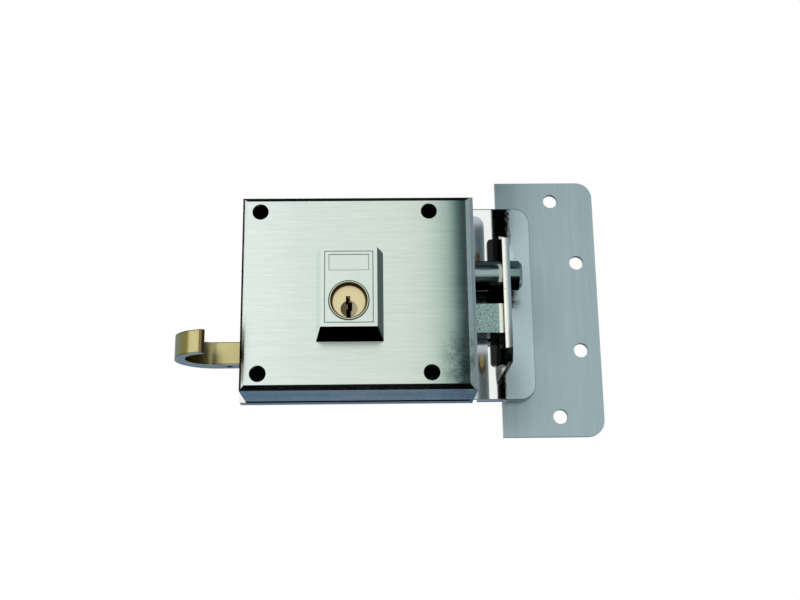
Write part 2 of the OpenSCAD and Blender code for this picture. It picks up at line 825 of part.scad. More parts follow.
// Points round a ring of the wire's section, on a coil about X that is squared off at both ends
ring_sides = 6;
ring_steps = 8;
squared_turns = 1;
function coil_x(turn, turns, length) =
    let (free = max(0, min(turns - 2 * squared_turns, turn - squared_turns)) / (turns - 2 * squared_turns),
         closed = wire + 0.1)
    wire / 2 + closed * min(turn, squared_turns) + closed * max(0, turn - turns + squared_turns)
    + free * (length - wire - 2 * closed * squared_turns);
function coil_ring(turn, turns, length, dia) =
    let (a = 360 * turn, x = coil_x(turn, turns, length))
    [for (s = [0 : ring_sides - 1])
        let (b = 360 * s / ring_sides, r = dia / 2 + wire / 2 * cos(b))
        [x + wire / 2 * sin(b), r * cos(a), r * sin(a)]];

// Open coil spring of one unbroken wire along X
module coil(length, dia, turns) {
    rings = turns * ring_steps + 1;
    last = (rings - 1) * ring_sides;
    points = [for (k = [0 : rings - 1]) each coil_ring(k / ring_steps, turns, length, dia)];
    sides = [for (k = [0 : rings - 2], s = [0 : ring_sides - 1])
             let (a = k * ring_sides, n = (s + 1) % ring_sides)
             each [[a + s, a + n, a + ring_sides + n], [a + s, a + ring_sides + n, a + ring_sides + s]]];
    first_cap = [for (s = [1 : ring_sides - 2]) [0, s + 1, s]];
    last_cap = [for (s = [1 : ring_sides - 2]) [last, last + s, last + s + 1]];
    polyhedron(points, concat(sides, first_cap, last_cap));
}

module latch_spring() {
    x0 = bracket_x + bracket_t + run_gap;
    color("gainsboro") translate([x0, -stem_depth, latch_z])
        coil(latch_tail - run_gap - x0, latch_spring_dia, latch_turns);
}

module return_spring() {
    x0 = rod_left + rod_bracket_t + run_gap;
    color("gainsboro") translate([x0, -rod_depth, rod_z])
        coil(push_x - run_gap - x0, return_spring_dia, return_turns);
}

module spring_rod() {
    color("silver") bar(rod_left, rod_right, rod_depth, rod_z, rod_dia);
}

module rod_brackets() {
    half = rod_bracket_w / 2;
    color("lightsteelblue") difference() {
        for (x = [rod_left, rod_right - rod_bracket_t])
            block(x, x + rod_bracket_t, floor_t, rod_depth + half, rod_z - half, rod_z + half);
        bar(rod_left - cut, rod_right + cut, rod_depth, rod_z, rod_dia + 2 * run_gap);
    }
}

// Side view of the hook in X and depth, with its bend between two arcs
module hook_profile() {
    difference() {
        union() {
            translate([bend_x, hook_back]) square([strap_end - bend_x, strap_t]);
            translate([bend_x, bend_mid]) circle(bend_r);
        }
        translate([hollow_x, hollow_mid]) circle(hollow_r);
        translate([hollow_x, hollow_mid - hollow_r]) square([hook_d, 2 * hollow_r]);
        translate([tip_x, hollow_mid]) square([hook_d, hook_d]);
    }
    translate([tip_x, (tip_front + tip_back) / 2]) circle((tip_front - tip_back) / 2);
}

module pull_hook() {
    low = hook_z - hook_w / 2;
    color("peru") difference() {
        stack(low, low + hook_w) hook_profile();
        translate([cross_x, -hook_back - strap_t / 2, low - cut])
            cylinder(h = hook_w + 2 * cut, d = cross_hole);
        for (x = rivet_places)
            peg(x, hook_z, hook_back - cut, carriage_back + cut, rivet_dia + 2 * run_gap);
    }
}

module hook_rivets() {
    head_t = 1.2;
    color("goldenrod") for (x = rivet_places) {
        peg(x, hook_z, hook_back, carriage_front, rivet_dia);
        peg(x, hook_z, carriage_front, carriage_front + head_t, rivet_dia + 2.4);
    }
}

// Pressed keeper sheet with its rim turned back against the strike plate
module keeper_plate() {
    color("lightgray") difference() {
        slab(strike_t, keeper_d) keeper_outline(0);
        slab(strike_t - cut, keeper_d - keeper_t) keeper_outline(keeper_t);
    }
}

module keeper_outline(inset) {
    translate([keeper_left - (inset > 0 ? cut : 0), keeper_bottom + inset])
        right_round(keeper_w - inset + (inset > 0 ? cut : 0), keeper_top - keeper_bottom - 2 * inset,
                    keeper_r - inset);
}

// Standing tab with its bolt hole and latch slot, bent up from a narrow foot
module tab_angle() {
    color("gainsboro") difference() {
        union() {
            slice(tab_x, tab_right)
                polygon([[keeper_d, tab_bottom], [tab_d - tab_nip_d, tab_bottom],
                         [tab_d, tab_bottom + tab_nip], [tab_d, tab_top - tab_slope],
                         [tab_d - tab_slope_d, tab_top], [keeper_d, tab_top]]);
            slab(keeper_d, keeper_d + tab_t) translate([tab_x - foot_w, foot_bottom])
                foot_outline(foot_w + tab_t / 2, foot_top - foot_bottom);
            difference() {
                block(tab_x - angle_r, tab_x + tab_t / 2, keeper_d, keeper_d + tab_t + angle_r,
                      foot_bottom, tab_top);
                translate([tab_x - angle_r, -keeper_d - tab_t - angle_r, foot_bottom - cut])
                    cylinder(h = foot_top - foot_bottom + 2 * cut, r = angle_r);
            }
        }
        bar(tab_x - foot_w - cut, tab_right + cut, bolt_depth, bolt_z, tab_hole);
        slice(tab_x - foot_w - cut, tab_right + cut) {
            translate([slot_back, slot_bottom + slot_r])
                square([slot_front - slot_back, slot_top - slot_bottom - slot_r]);
            translate([slot_back, slot_bottom]) square([slot_front - slot_back - slot_r, 2 * slot_r]);
            translate([slot_front - slot_r, slot_bottom + slot_r]) circle(slot_r);
        }
    }
}

// Foot of the angle with its two left corners rounded
module foot_outline(w, h) {
    translate([foot_corner, 0]) square([w - foot_corner, h]);
    translate([0, foot_corner]) square([w, h - 2 * foot_corner]);
    translate([foot_corner, foot_corner]) circle(foot_corner);
    translate([foot_corner, h - foot_corner]) circle(foot_corner);
}

module strike_plate() {
    color("lightslategray") difference() {
        slab(0, strike_t) translate([tab_x, strike_bottom]) right_round(strike_w, strike_h, strike_r);
        for (side = [-1, 1]) {
            peg(tab_x + outer_x, strike_z + side * outer_dz / 2, -cut, strike_t + cut, strike_hole);
            peg(tab_x + inner_x, strike_z + side * inner_dz / 2, -cut, strike_t + cut, strike_hole);
        }
        for (z = kstud_places) peg(kstud_x, z, -cut, strike_t + cut, kstud_dia + 2 * run_gap);
    }
}

// Studs welded behind the keeper's sheet and set through the strike plate
module keeper_studs() {
    color("gray") for (z = kstud_places) peg(kstud_x, z, 0, keeper_d - keeper_t, kstud_dia);
}

base_tray();
front_plate();
cover();
spacer_tubes();
cover_posts();
cover_screws();
cylinder_housing();
housing_screws();
cylinder_body();
cylinder_clip();
cylinder_plug();
keyway_disc();
key_pins();
driver_pins();
pin_springs();
cylinder_cam();
cam_screw();
carriage();
guide_studs();
guide_washers();
guide_clips();
round_bolt();
bolt_screw();
bolt_bush();
latch_bolt();
latch_guide();
latch_spring();
stem_bracket();
stem_clip();
return_spring();
spring_rod();
rod_brackets();
pull_hook();
hook_rivets();
keeper_plate();
tab_angle();
strike_plate();
keeper_studs();
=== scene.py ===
"""Dresses the solids of a surface mounted rim lock, its pull hook, key cylinder and keeper, and lights them.

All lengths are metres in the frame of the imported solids: X to the right, Z up and the front towards -Y.
The door is the plane y = 0 and the origin is the middle of the four fixing holes.
"""
import json
import math

import bmesh
import bpy
from mathutils import Matrix, Vector


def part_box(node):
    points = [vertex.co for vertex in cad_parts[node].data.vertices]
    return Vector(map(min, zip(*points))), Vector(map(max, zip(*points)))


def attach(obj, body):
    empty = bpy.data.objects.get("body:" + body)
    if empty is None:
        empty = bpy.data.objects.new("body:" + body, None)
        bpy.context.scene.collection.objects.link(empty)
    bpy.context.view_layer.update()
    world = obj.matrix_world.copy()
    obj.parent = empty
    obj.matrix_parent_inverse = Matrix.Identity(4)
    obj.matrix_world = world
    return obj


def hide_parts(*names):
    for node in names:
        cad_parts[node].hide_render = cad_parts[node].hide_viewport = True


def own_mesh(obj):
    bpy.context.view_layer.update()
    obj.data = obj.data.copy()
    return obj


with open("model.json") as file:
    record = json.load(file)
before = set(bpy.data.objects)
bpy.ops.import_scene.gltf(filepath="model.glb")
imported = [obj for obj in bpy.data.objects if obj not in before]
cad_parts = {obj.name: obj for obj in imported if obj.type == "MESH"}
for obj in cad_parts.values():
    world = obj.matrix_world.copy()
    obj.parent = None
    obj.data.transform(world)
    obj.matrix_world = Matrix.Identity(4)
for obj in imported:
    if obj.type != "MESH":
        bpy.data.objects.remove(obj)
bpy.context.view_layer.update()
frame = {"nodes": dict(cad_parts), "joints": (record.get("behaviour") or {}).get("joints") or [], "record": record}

bl_info = {
    "name": "Rim lock with keeper",
    "version": (1, 0, 0),
    "blender": (4, 5, 0),
    "location": "3D View > Sidebar > Rim lock",
    "description": "Dresses the solids of a surface mounted rim lock and sets a plain studio round it",
    "category": "Object",
}

MM = 0.001


# Nodes

class Value:
    """A node's output that can be used in Python sums."""

    def __init__(self, tree, socket):
        self.tree = tree
        self.socket = socket

    def sum(self, operation, first, second):
        return self.tree.node("ShaderNodeMath", {"operation": operation}, [first, second])

    def __add__(self, other):
        return self.sum("ADD", self, other)

    def __radd__(self, other):
        return self.sum("ADD", other, self)

    def __sub__(self, other):
        return self.sum("SUBTRACT", self, other)

    def __rsub__(self, other):
        return self.sum("SUBTRACT", other, self)

    def __mul__(self, other):
        return self.sum("MULTIPLY", self, other)

    def __truediv__(self, other):
        return self.sum("DIVIDE", self, other)

    def __gt__(self, other):
        return self.sum("GREATER_THAN", self, other)


class Tree:
    """A node tree that is filled by one method."""

    def __init__(self, tree):
        self.tree = tree

    def node(self, kind, settings=None, sockets=None, result=0):
        """Adds a node, sets its settings first and then its sockets, and gives one of its outputs."""
        made = self.tree.nodes.new(kind)
        for name, value in (settings or {}).items():
            if name == "stops":
                ramp = made.color_ramp
                while len(ramp.elements) < len(value):
                    ramp.elements.new(1.0)
                for element, (position, colour) in zip(ramp.elements, value):
                    element.position = position
                    element.color = (*colour, 1.0)
            else:
                setattr(made, name, value)
        pairs = sockets.items() if isinstance(sockets, dict) else enumerate(sockets or [])
        for key, value in pairs:
            self.feed(made.inputs[key], value)
        return Value(self, made.outputs[result]) if len(made.outputs) else made

    def feed(self, socket, value):
        """Links one or several values to a socket, or sets the socket's own number, colour or vector."""
        if isinstance(value, Value):
            self.tree.links.new(value.socket, socket)
        elif isinstance(value, list) and isinstance(value[0], Value):
            for part in value:
                self.tree.links.new(part.socket, socket)
        elif socket.type == "RGBA" and len(value) == 3:
            socket.default_value = (*value, 1.0)
        else:
            socket.default_value = value


class Paint(Tree):
    """A metal finish in the piece's own coordinates."""

    kind = "ShaderNodeBsdfPrincipled"
    basis = {"Metallic": 1.0}

    def __init__(self, name, **constants):
        self.material = bpy.data.materials.new(name)
        self.material.use_nodes = True
        super().__init__(self.material.node_tree)
        self.tree.nodes.clear()
        surface = self.node(self.kind, None, self.basis)
        self.shader = surface.socket.node
        for label, value in constants.items():
            self.feed(self.shader.inputs[label.replace("_", " ")], value)
        self.node("ShaderNodeOutputMaterial", None, [surface])
        self.place = self.node("ShaderNodeTexCoord", result="Object")

    def mapped(self, scale=(1, 1, 1), offset=(0, 0, 0)):
        """The piece's coordinates, moved and then stretched."""
        moved = self.node("ShaderNodeVectorMath", {"operation": "SUBTRACT"}, [self.place, offset])
        return self.node("ShaderNodeVectorMath", {"operation": "MULTIPLY"}, [moved, scale])

    def noise(self, scale, detail=2.0, rough=0.5, twist=0.0):
        """Noise between 0 and 1 with so many features a metre along X, Y and Z."""
        return self.node("ShaderNodeTexNoise", None,
                         {"Vector": self.mapped(scale), "Scale": 1.0, "Detail": detail,
                          "Roughness": rough, "Distortion": twist})

    def axis(self, index):
        """The piece's coordinate along one axis."""
        return self.node("ShaderNodeSeparateXYZ", None, [self.place], index)

    def distance(self, scale, centre):
        """Distance from a place, with each axis stretched or, at 0, left out."""
        return self.node("ShaderNodeVectorMath", {"operation": "LENGTH"}, [self.mapped(scale, centre)],
                         "Value")

    def radius(self, centre):
        """Distance from an axis along Y."""
        return self.distance((1, 0, 1), centre)

    def fade(self, value, low, high):
        """Runs smoothly from 0 at one value to 1 at another."""
        return self.node("ShaderNodeMapRange", {"interpolation_type": "SMOOTHSTEP"},
                         {"Value": value, "From Min": low, "From Max": high})

    def blend(self, factor, first, second):
        """A colour between two others."""
        return self.node("ShaderNodeMix", {"data_type": "RGBA"}, {0: factor, 6: first, 7: second}, 2)

    def ramp(self, factor, *stops):
        return self.node("ShaderNodeValToRGB", {"stops": stops}, [factor])

    def patched(self, tint, patches):
        """Lays patches over a colour, each of which comes in from one place along an axis to another."""
        for axis, low, high, colour in patches:
            tint = self.blend(self.fade(self.axis("xyz".index(axis)), low, high), tint, colour)
        return tint

    def spotted(self, tint, spots):
        """Lays oval spots over a colour, each with a centre, its reach along each axis and its own colour.

        A reach of 0 leaves that axis out. A spot fades between 1.1 and 0.5 times its reach."""
        for centre, reach, colour in spots:
            away = self.distance([1 / part if part else 0.0 for part in reach], centre)
            tint = self.blend(self.fade(away, 1.1, 0.5), tint, colour)
        return tint

    def outline(self, low, high, width):
        """1 along the edge of a rectangle seen along Y, with these corners, and 0 elsewhere."""
        middle = (low + high) / 2
        half = (high - low) / 2
        reach = []
        for index in (0, 2):
            away = self.node("ShaderNodeMath", {"operation": "ABSOLUTE"}, [self.axis(index) - middle[index]])
            reach.append(away - half[index])
        edge = self.node("ShaderNodeMath", {"operation": "MAXIMUM"}, reach)
        distance = self.node("ShaderNodeMath", {"operation": "ABSOLUTE"}, [edge])
        return self.fade(distance, width, width * 0.5)

    def relief(self, height, depth):
        """Surface relief of so many metres from a height between 0 and 1."""
        return self.node("ShaderNodeBump", None, {"Strength": 1.0, "Distance": depth, "Height": height})

    def wear(self, **links):
        """Joins what changes over the surface to the shader."""
        for label, value in links.items():
            self.feed(self.shader.inputs[label.replace("_", " ")], value)
        return self.material


class Glow(Paint):
    """A card that shines evenly or from one level to another."""

    kind = "ShaderNodeEmission"
    basis = {"Strength": 1.0}


def shade(colour, factor):
    """A colour made lighter or darker."""
    return tuple(min(1.0, part * factor) for part in colour)


# Finishes

def brushed(name, colour, grain, roughness, spread=0.06, turn=0.25, anisotropic=0.6, patches=(), spots=(),
            dark_speckles=None):
    """Sheet brushed along one axis, which is the small number of the grain's features a metre.

    Dark speckles and blotches come in beyond a place along X and below one along Z, over a soft stretch."""
    paint = Paint(name, Anisotropic=anisotropic, Anisotropic_Rotation=turn)
    fine = paint.noise(grain, 3.0, 0.6)
    broad = paint.noise([part * 0.22 for part in grain], 2.0, 0.5)
    cloud = paint.noise((26, 26, 26), 3.0, 0.55)
    scratch = paint.fade(paint.noise((90, 90, 240), 1.0, 0.4, 3.0), 0.7, 0.74)
    tone = fine * 0.6 + broad * 0.4
    tint = paint.blend(cloud, shade(colour, 1.0 - spread), shade(colour, 1.0 + spread * 0.4))
    streaked = paint.blend(paint.fade(tone, 0.34, 0.66), shade(colour, 1.0 - 1.6 * spread), tint)
    # Dark speckles and blotches darken the colour beyond the given place along X and below the one along Z.
    if dark_speckles:
        across, below, soft = dark_speckles
        speckle = paint.fade(paint.noise((1500, 1500, 1500), 4.0, 0.8), 0.46, 0.56)
        blotch = paint.fade(paint.noise((210, 210, 210), 3.0, 0.6), 0.4, 0.6)
        beyond = paint.fade(paint.axis(0), across, across + soft)
        corner = beyond * paint.fade(paint.axis(2), below, below - soft)
        streaked = paint.blend(corner * (blotch * 0.45 + speckle * 0.55), streaked, shade(colour, 0.3))
    return paint.wear(Base_Color=paint.spotted(paint.patched(streaked, patches), spots),
                      Roughness=roughness - 0.04 + tone * 0.06 + cloud * 0.04 + scratch * 0.05,
                      Normal=paint.relief(tone, 3e-6))


def plated(name, colour, roughness, patches=(), **constants):
    """Plated steel with soft clouds and a fine grain."""
    spread = 0.1
    paint = Paint(name, **constants)
    cloud = paint.noise((70, 70, 70), 3.0, 0.6)
    grain = paint.noise((900, 900, 900), 2.0, 0.6)
    scuff = paint.fade(paint.noise((60, 400, 400), 1.0, 0.5, 2.0), 0.66, 0.7)
    tint = paint.blend(cloud, shade(colour, 1.0 - spread), shade(colour, 1.0 + spread))
    marked = paint.blend(scuff * 0.4, tint, shade(colour, 1.25))
    return paint.wear(Base_Color=paint.patched(marked, patches),
                      Roughness=roughness - 0.05 + cloud * 0.1 + grain * 0.05 - scuff * 0.04,
                      Normal=paint.relief(grain, 2e-6))


def turned(name, colour, centre, roughness, ring_pitch, patches=(), bands=()):
    """Turned metal with fine rings about an axis along Y, patches, and bands that start at a radius."""
    spread = 0.08
    paint = Paint(name)
    radius = paint.radius(centre)
    rings = paint.node("ShaderNodeTexNoise", {"noise_dimensions": "1D"},
                       {"W": radius / ring_pitch, "Scale": 1.0, "Detail": 2.0})
    cloud = paint.noise((240, 240, 240), 3.0, 0.6)
    tint = paint.blend(cloud, shade(colour, 1.0 - spread), shade(colour, 1.0 + spread))
    ringed = paint.blend(paint.fade(rings, 0.35, 0.65), shade(colour, 1.0 - spread), tint)
    ringed = paint.patched(ringed, patches)
    for low, high, band in bands:
        ringed = paint.blend(paint.fade(radius, low, high), ringed, band)
    return paint.wear(Base_Color=ringed, Roughness=roughness - 0.03 + rings * 0.05 + cloud * 0.04,
                      Normal=paint.relief(rings, 2e-6))


def cast_satin(name, colour, top, label):
    """Satin plated die casting, grainy on top, glossy on the slopes, with painted shade round the label's box."""
    line_width = 0.26 * MM
    paint = Paint(name)
    grain = paint.noise((1500, 1500, 1500), 2.0, 0.6)
    cloud = paint.noise((110, 110, 110), 3.0, 0.6)
    slope = paint.fade(paint.axis(1), top + 0.2 * MM, top + 0.9 * MM)
    tint = paint.blend(cloud, shade(colour, 0.93), shade(colour, 1.04))
    speckled = paint.blend(paint.fade(grain, 0.3, 0.45), shade(colour, 0.86), tint)
    # Painted shade: a dark line round the edge of the sunk label box.
    label_edge_shade = paint.blend(paint.outline(*label, line_width) * 0.55, speckled, shade(colour, 0.16))
    return paint.wear(Base_Color=label_edge_shade,
                      Roughness=0.27 + cloud * 0.06 + grain * 0.05 - slope * 0.2,
                      Normal=paint.relief(grain * (1.0 - slope), 4e-6))


def sintered(name, colour, patches):
    """Grainy plated sintered metal."""
    paint = Paint(name)
    grain = paint.noise((1900, 1900, 1900), 2.0, 0.7)
    pits = paint.fade(paint.noise((900, 900, 900), 3.0, 0.7), 0.56, 0.64)
    cloud = paint.noise((200, 200, 200), 2.0, 0.5)
    tint = paint.ramp(grain, (0.36, shade(colour, 0.45)), (0.5, colour), (0.62, shade(colour, 1.6)))
    pitted = paint.blend(pits * 0.6, tint, shade(colour, 0.45))
    return paint.wear(Base_Color=paint.patched(pitted, patches), Roughness=0.18 + cloud * 0.06 + pits * 0.1,
                      Normal=paint.relief(grain - pits * 0.6, 1.2e-5))


def dark_satin(name, colour):
    """Oiled steel bar with faint lines round it."""
    paint = Paint(name)
    rings = paint.noise((1800, 60, 60), 2.0, 0.6)
    cloud = paint.noise((130, 130, 130), 3.0, 0.6)
    tint = paint.blend(cloud, shade(colour, 0.85), shade(colour, 1.1))
    ringed = paint.blend(paint.fade(rings, 0.6, 0.75) * 0.2, tint, shade(colour, 1.3))
    return paint.wear(Base_Color=ringed, Roughness=0.14 + cloud * 0.06 + rings * 0.04)


def half_polished(name, polish, satin, edge, lean=(0.0, 0.0, 0.0), ragged=0.2 * MM, patches=()):
    """Polished plate that turns satin beyond a line across X, which leans and frays over a stretch of Z."""
    soft = 0.7 * MM
    paint = Paint(name)
    rag = paint.noise((1700, 1700, 1500), 5.0, 0.8)
    drift = paint.noise((60, 60, 75), 2.0, 0.5)
    low, high, shift = lean
    upper = paint.fade(paint.axis(2), low, high)
    line = paint.axis(0) + (rag - 0.5) * (upper * 9.0 + 1.5) * ragged + (drift - 0.5) * ragged * 1.2
    line = line - upper * shift
    mask = paint.fade(line, edge - soft, edge + soft)
    streak = paint.noise((2400, 90, 90), 2.0, 0.6)
    cloud = paint.noise((75, 75, 60), 3.0, 0.6)
    wear_and_light = paint.blend(cloud, shade(satin, 0.93), shade(satin, 1.05))
    tint = paint.blend(mask, paint.blend(cloud, shade(polish, 0.97), polish), wear_and_light)
    return paint.wear(Base_Color=paint.patched(tint, patches),
                      Roughness=0.035 + cloud * 0.02 + mask * (0.24 + streak * 0.1),
                      Normal=paint.relief(streak * mask, 3e-6))


# Meshes

def copy_of(node):
    """The node's solid as a bmesh with its flat faces made whole."""
    bm = bmesh.new()
    bm.from_mesh(frame["nodes"][node].data)
    bmesh.ops.remove_doubles(bm, verts=bm.verts, dist=1e-6)
    bmesh.ops.dissolve_limit(bm, angle_limit=math.radians(0.4), verts=bm.verts, edges=bm.edges)
    return bm


def round_edges(bm, radius, steps=3, where=None, sharper=35.0):
    """Rounds the edges that are sharper than so many degrees, or those of them that pass a test."""
    edges = [e for e in bm.edges if len(e.link_faces) == 2
             and e.calc_face_angle(0.0) > math.radians(sharper) and (where is None or where(e))]
    bmesh.ops.bevel(bm, geom=edges, offset=radius, offset_type="OFFSET", segments=steps, profile=0.5,
                    affect="EDGES", clamp_overlap=True)


def middle(edge):
    return (edge.verts[0].co + edge.verts[1].co) / 2


def within(place, low, high, margin):
    """Whether a place lies inside a box as seen from the front, and this far from its sides."""
    return (low.x + margin < place.x < high.x - margin
            and low.z + margin < place.z < high.z - margin)


def plain_mesh(piece, name):
    """The piece as it stands with its modifiers, made a plain mesh."""
    graph = bpy.context.evaluated_depsgraph_get()
    mesh = bpy.data.meshes.new_from_object(piece.evaluated_get(graph), preserve_all_data_layers=True,
                                           depsgraph=graph)
    mesh.name = name
    old = piece.data
    piece.modifiers.clear()
    piece.data = mesh
    bpy.data.meshes.remove(old)


def settle(name, bm, materials, slot, body, *nodes, crease=40.0):
    """Makes the piece, smooths it with its large faces kept flat, and puts it on its body."""
    if not bm.faces:
        raise RuntimeError(f"{name} has no faces")
    for edge in bm.edges:
        edge.smooth = edge.calc_face_angle(0.0) < math.radians(crease)
    for face in bm.faces:
        face.smooth = True
    mesh = bpy.data.meshes.new(name)
    bm.to_mesh(mesh)
    bm.free()
    for material in materials if isinstance(materials, list) else [materials]:
        mesh.materials.append(material)
    piece = bpy.data.objects.new(name, mesh)
    bpy.context.scene.collection.objects.link(piece)
    flatten = piece.modifiers.new("flat faces", "WEIGHTED_NORMAL")
    flatten.mode = "FACE_AREA"
    flatten.keep_sharp = True
    plain_mesh(piece, name)
    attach(piece, body)
    if nodes:
        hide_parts(*nodes)
    return piece


def carry_over(material, *nodes):
    """Gives nodes that keep their own mesh a finish."""
    for node in nodes:
        mesh = frame["nodes"][node].data
        mesh.materials.clear()
        mesh.materials.append(material)


class Recipe(Tree):
    """A Geometry Nodes tree with named inputs that ends in a plain mesh of one material."""

    def __init__(self, name, **kinds):
        super().__init__(bpy.data.node_groups.new(name, "GeometryNodeTree"))
        face = self.tree.interface
        face.new_socket("Geometry", in_out="OUTPUT", socket_type="NodeSocketGeometry")
        self.names = {label: face.new_socket(label.replace("_", " "), in_out="INPUT",
                                             socket_type="NodeSocket" + kind).identifier
                      for label, kind in kinds.items()}
        group = self.node("NodeGroupInput").socket.node
        self.inputs = {label: Value(self, group.outputs[label.replace("_", " ")]) for label in kinds}

    def finish(self, geometry, material):
        real = self.node("GeometryNodeRealizeInstances", None, [geometry])
        painted = self.node("GeometryNodeSetMaterial", None, {"Geometry": real, "Material": material})
        self.node("NodeGroupOutput", None, [painted])

    def make(self, name, **values):
        """Runs the tree with these inputs and gives its plain piece."""
        piece = bpy.data.objects.new(name, bpy.data.meshes.new(name))
        bpy.context.scene.collection.objects.link(piece)
        modifier = piece.modifiers.new("recipe", "NODES")
        modifier.node_group = self.tree
        for label, value in values.items():
            modifier[self.names[label]] = value
        plain_mesh(piece, name)
        if not piece.data.polygons:
            raise RuntimeError(f"{name} came out empty")
        return piece


def screw_recipe():
    """Four screws with a cross recess, at the corners of a rectangle, heads towards the door."""
    sizes = ("Across", "Up", "Head", "Head_Depth", "Shank", "Length", "Recess", "Seat")
    recipe = Recipe("four screws", **{label: "Float" for label in sizes}, Centre="Vector",
                    Material="Material")
    across, up, head, head_depth, shank, length, recess, seat = [recipe.inputs[label] for label in sizes]
    quarter = (math.pi / 2, 0.0, 0.0)
    cone = recipe.node("GeometryNodeMeshCone", {"fill_type": "NGON"},
                       {"Vertices": 40, "Radius Top": seat / 2, "Radius Bottom": head / 2,
                        "Depth": head_depth})
    bar = recipe.node("GeometryNodeMeshCylinder", {"fill_type": "NGON"},
                      {"Vertices": 32, "Radius": shank / 2, "Depth": length - head_depth})
    rise = recipe.node("ShaderNodeCombineXYZ", None, [0.0, 0.0, (length + head_depth) / 2])
    bar = recipe.node("GeometryNodeTransform", None, {"Geometry": bar, "Translation": rise})
    slots = []
    for wide, narrow in ((1.0, 0.26), (0.26, 1.0)):
        size = recipe.node("ShaderNodeCombineXYZ", None, [recess * wide, recess * narrow, head_depth * 1.2])
        slots.append(recipe.node("GeometryNodeMeshCube", None, {"Size": size}))
    cut_head = recipe.node("GeometryNodeMeshBoolean", {"operation": "DIFFERENCE", "solver": "EXACT"},
                           {0: cone, 1: slots})
    screw = recipe.node("GeometryNodeJoinGeometry", None, [[cut_head, bar]])
    lying = recipe.node("GeometryNodeTransform", None, {"Geometry": screw, "Rotation": quarter})
    grid = recipe.node("GeometryNodeMeshGrid", None,
                       {"Size X": across, "Size Y": up, "Vertices X": 2, "Vertices Y": 2})
    stood = recipe.node("GeometryNodeTransform", None,
                        {"Geometry": grid, "Rotation": quarter, "Translation": recipe.inputs["Centre"]})
    copies = recipe.node("GeometryNodeInstanceOnPoints", None, {"Points": stood, "Instance": lying})
    recipe.finish(copies, recipe.inputs["Material"])
    return recipe


# Settings

def length(label, about, default):
    return bpy.props.FloatProperty(name=label, description=about, default=default, min=0.0, unit="LENGTH",
                                   precision=5)


def colour(label, about, default):
    return bpy.props.FloatVectorProperty(name=label, description=about, default=default, min=0.0, max=1.0,
                                         size=3, subtype="COLOR")


def ratio(label, about, default):
    return bpy.props.FloatProperty(name=label, description=about, default=default, min=0.0, max=1.0,
                                   subtype="FACTOR")


class LockEdgeSettings(bpy.types.PropertyGroup):
    """Radii that the finished pieces get at their edges."""

    sheet: length("Sheet edges", "Radius of the pressed sheets' edges", 0.25 * MM)
    cover: length("Cover bends", "Radius of the bends round the cover", 0.45 * MM)
    casting: length("Housing edges", "Radius of the housing's outer edges", 0.5 * MM)
    engraving: length("Engraved lines", "Radius of the engraved lines' edges", 0.06 * MM)
    press: length("Keeper rim", "Radius of the keeper's rolled rim", 0.5 * MM)
    hook: length("Hook edges", "Radius of the pull hook's edges", 0.35 * MM)
    hook_tip: length("Hook tip", "Radius of the outer edge at the hook's free end", 2.2 * MM)
    rings: length("Cylinder rings", "Radius of the turned edges at the key cylinder", 0.15 * MM)
    disc: length("Keyway disc", "Radius of the edges of the disc round the keyway", 0.08 * MM)
    tubes: length("Fixing tubes", "Radius of the edges of the tubes round the fixing holes", 0.15 * MM)
    bolt: length("Round bolt", "Radius of the round bolt's end", 0.3 * MM)
    latch: length("Latch", "Radius of the latch's edges", 0.35 * MM)


class LockFinishSettings(bpy.types.PropertyGroup):
    """Colours and gloss of the lock's metals."""

    cover: colour("Cover", "Brushed plating of the cover", (0.80, 0.88, 0.83))
    housing: colour("Housing", "Satin plating of the cylinder housing", (0.78, 0.85, 0.82))
    # Painted shade: the colour of the housing's right side and underside.
    housing_painted_shade: colour("Housing, right side", "Painted shade of the housing's right side and underside",
                         (0.28, 0.36, 0.38))
    # The engraved lines' colour is painted shade in the sunk lines.
    engraved: colour("Engraved lines", "Painted shade in the engraved lines", (0.22, 0.26, 0.24))
    tray: colour("Tray", "Plating of the base tray", (0.56, 0.62, 0.64))
    plate: colour("Front plate", "Plating of the front plate", (0.52, 0.58, 0.60))
    hook: colour("Hook", "Satin brass of the pull hook", (0.64, 0.585, 0.28))
    hook_cut: colour("Hook, cut edges", "Bare steel of the hook's cut edges", (0.90, 0.92, 0.82))
    plug: colour("Plug", "Champagne brass of the plug", (0.84, 0.72, 0.45))
    disc: colour("Keyway disc", "Bronze of the disc round the keyway", (0.12, 0.09, 0.05))
    ring: colour("Cylinder ring", "Bright plating of the cylinder's ring", (0.66, 0.72, 0.60))
    bolt: colour("Round bolt", "Oiled steel of the round bolt", (0.36, 0.46, 0.44))
    latch: colour("Latch", "Plating of the sintered latch", (0.30, 0.42, 0.39))
    keeper: colour("Keeper", "Polished plating of the keeper", (0.86, 0.90, 0.86))
    keeper_satin: colour("Keeper, satin part", "Worn part of the keeper", (0.76, 0.89, 0.90))
    tab_satin: colour("Tab, satin edge", "Ground front edge of the tab", (0.30, 0.40, 0.44))
    strike: colour("Strike plate", "Brushed plating of the strike plate", (0.57, 0.685, 0.70))
    cover_gloss: ratio("Cover roughness", "Roughness of the brushed cover", 0.17)
    strike_gloss: ratio("Strike roughness", "Roughness of the brushed strike plate", 0.3)


class LockStageSettings(bpy.types.PropertyGroup):
    """Camera, lamps and world."""

    lens: bpy.props.FloatProperty(name="Lens", description="Focal length in millimetres", default=50.98,
                                  min=1.0)
    floor: length("Floor drop", "How far the floor lies below the lock's middle", 0.2)
    fill: ratio("Fill light", "Level of the plain light from all sides", 0.6)
    key: bpy.props.FloatProperty(name="Key lamp", description="Power of the soft lamp", default=4.0, min=0.0,
                                 unit="POWER")


# Operators

class LockOperator(bpy.types.Operator):
    """Shared ways into the settings."""

    bl_options = {"REGISTER", "UNDO"}

    @property
    def edges(self):
        return bpy.context.scene.lock_edges

    @property
    def finish(self):
        return bpy.context.scene.lock_finish


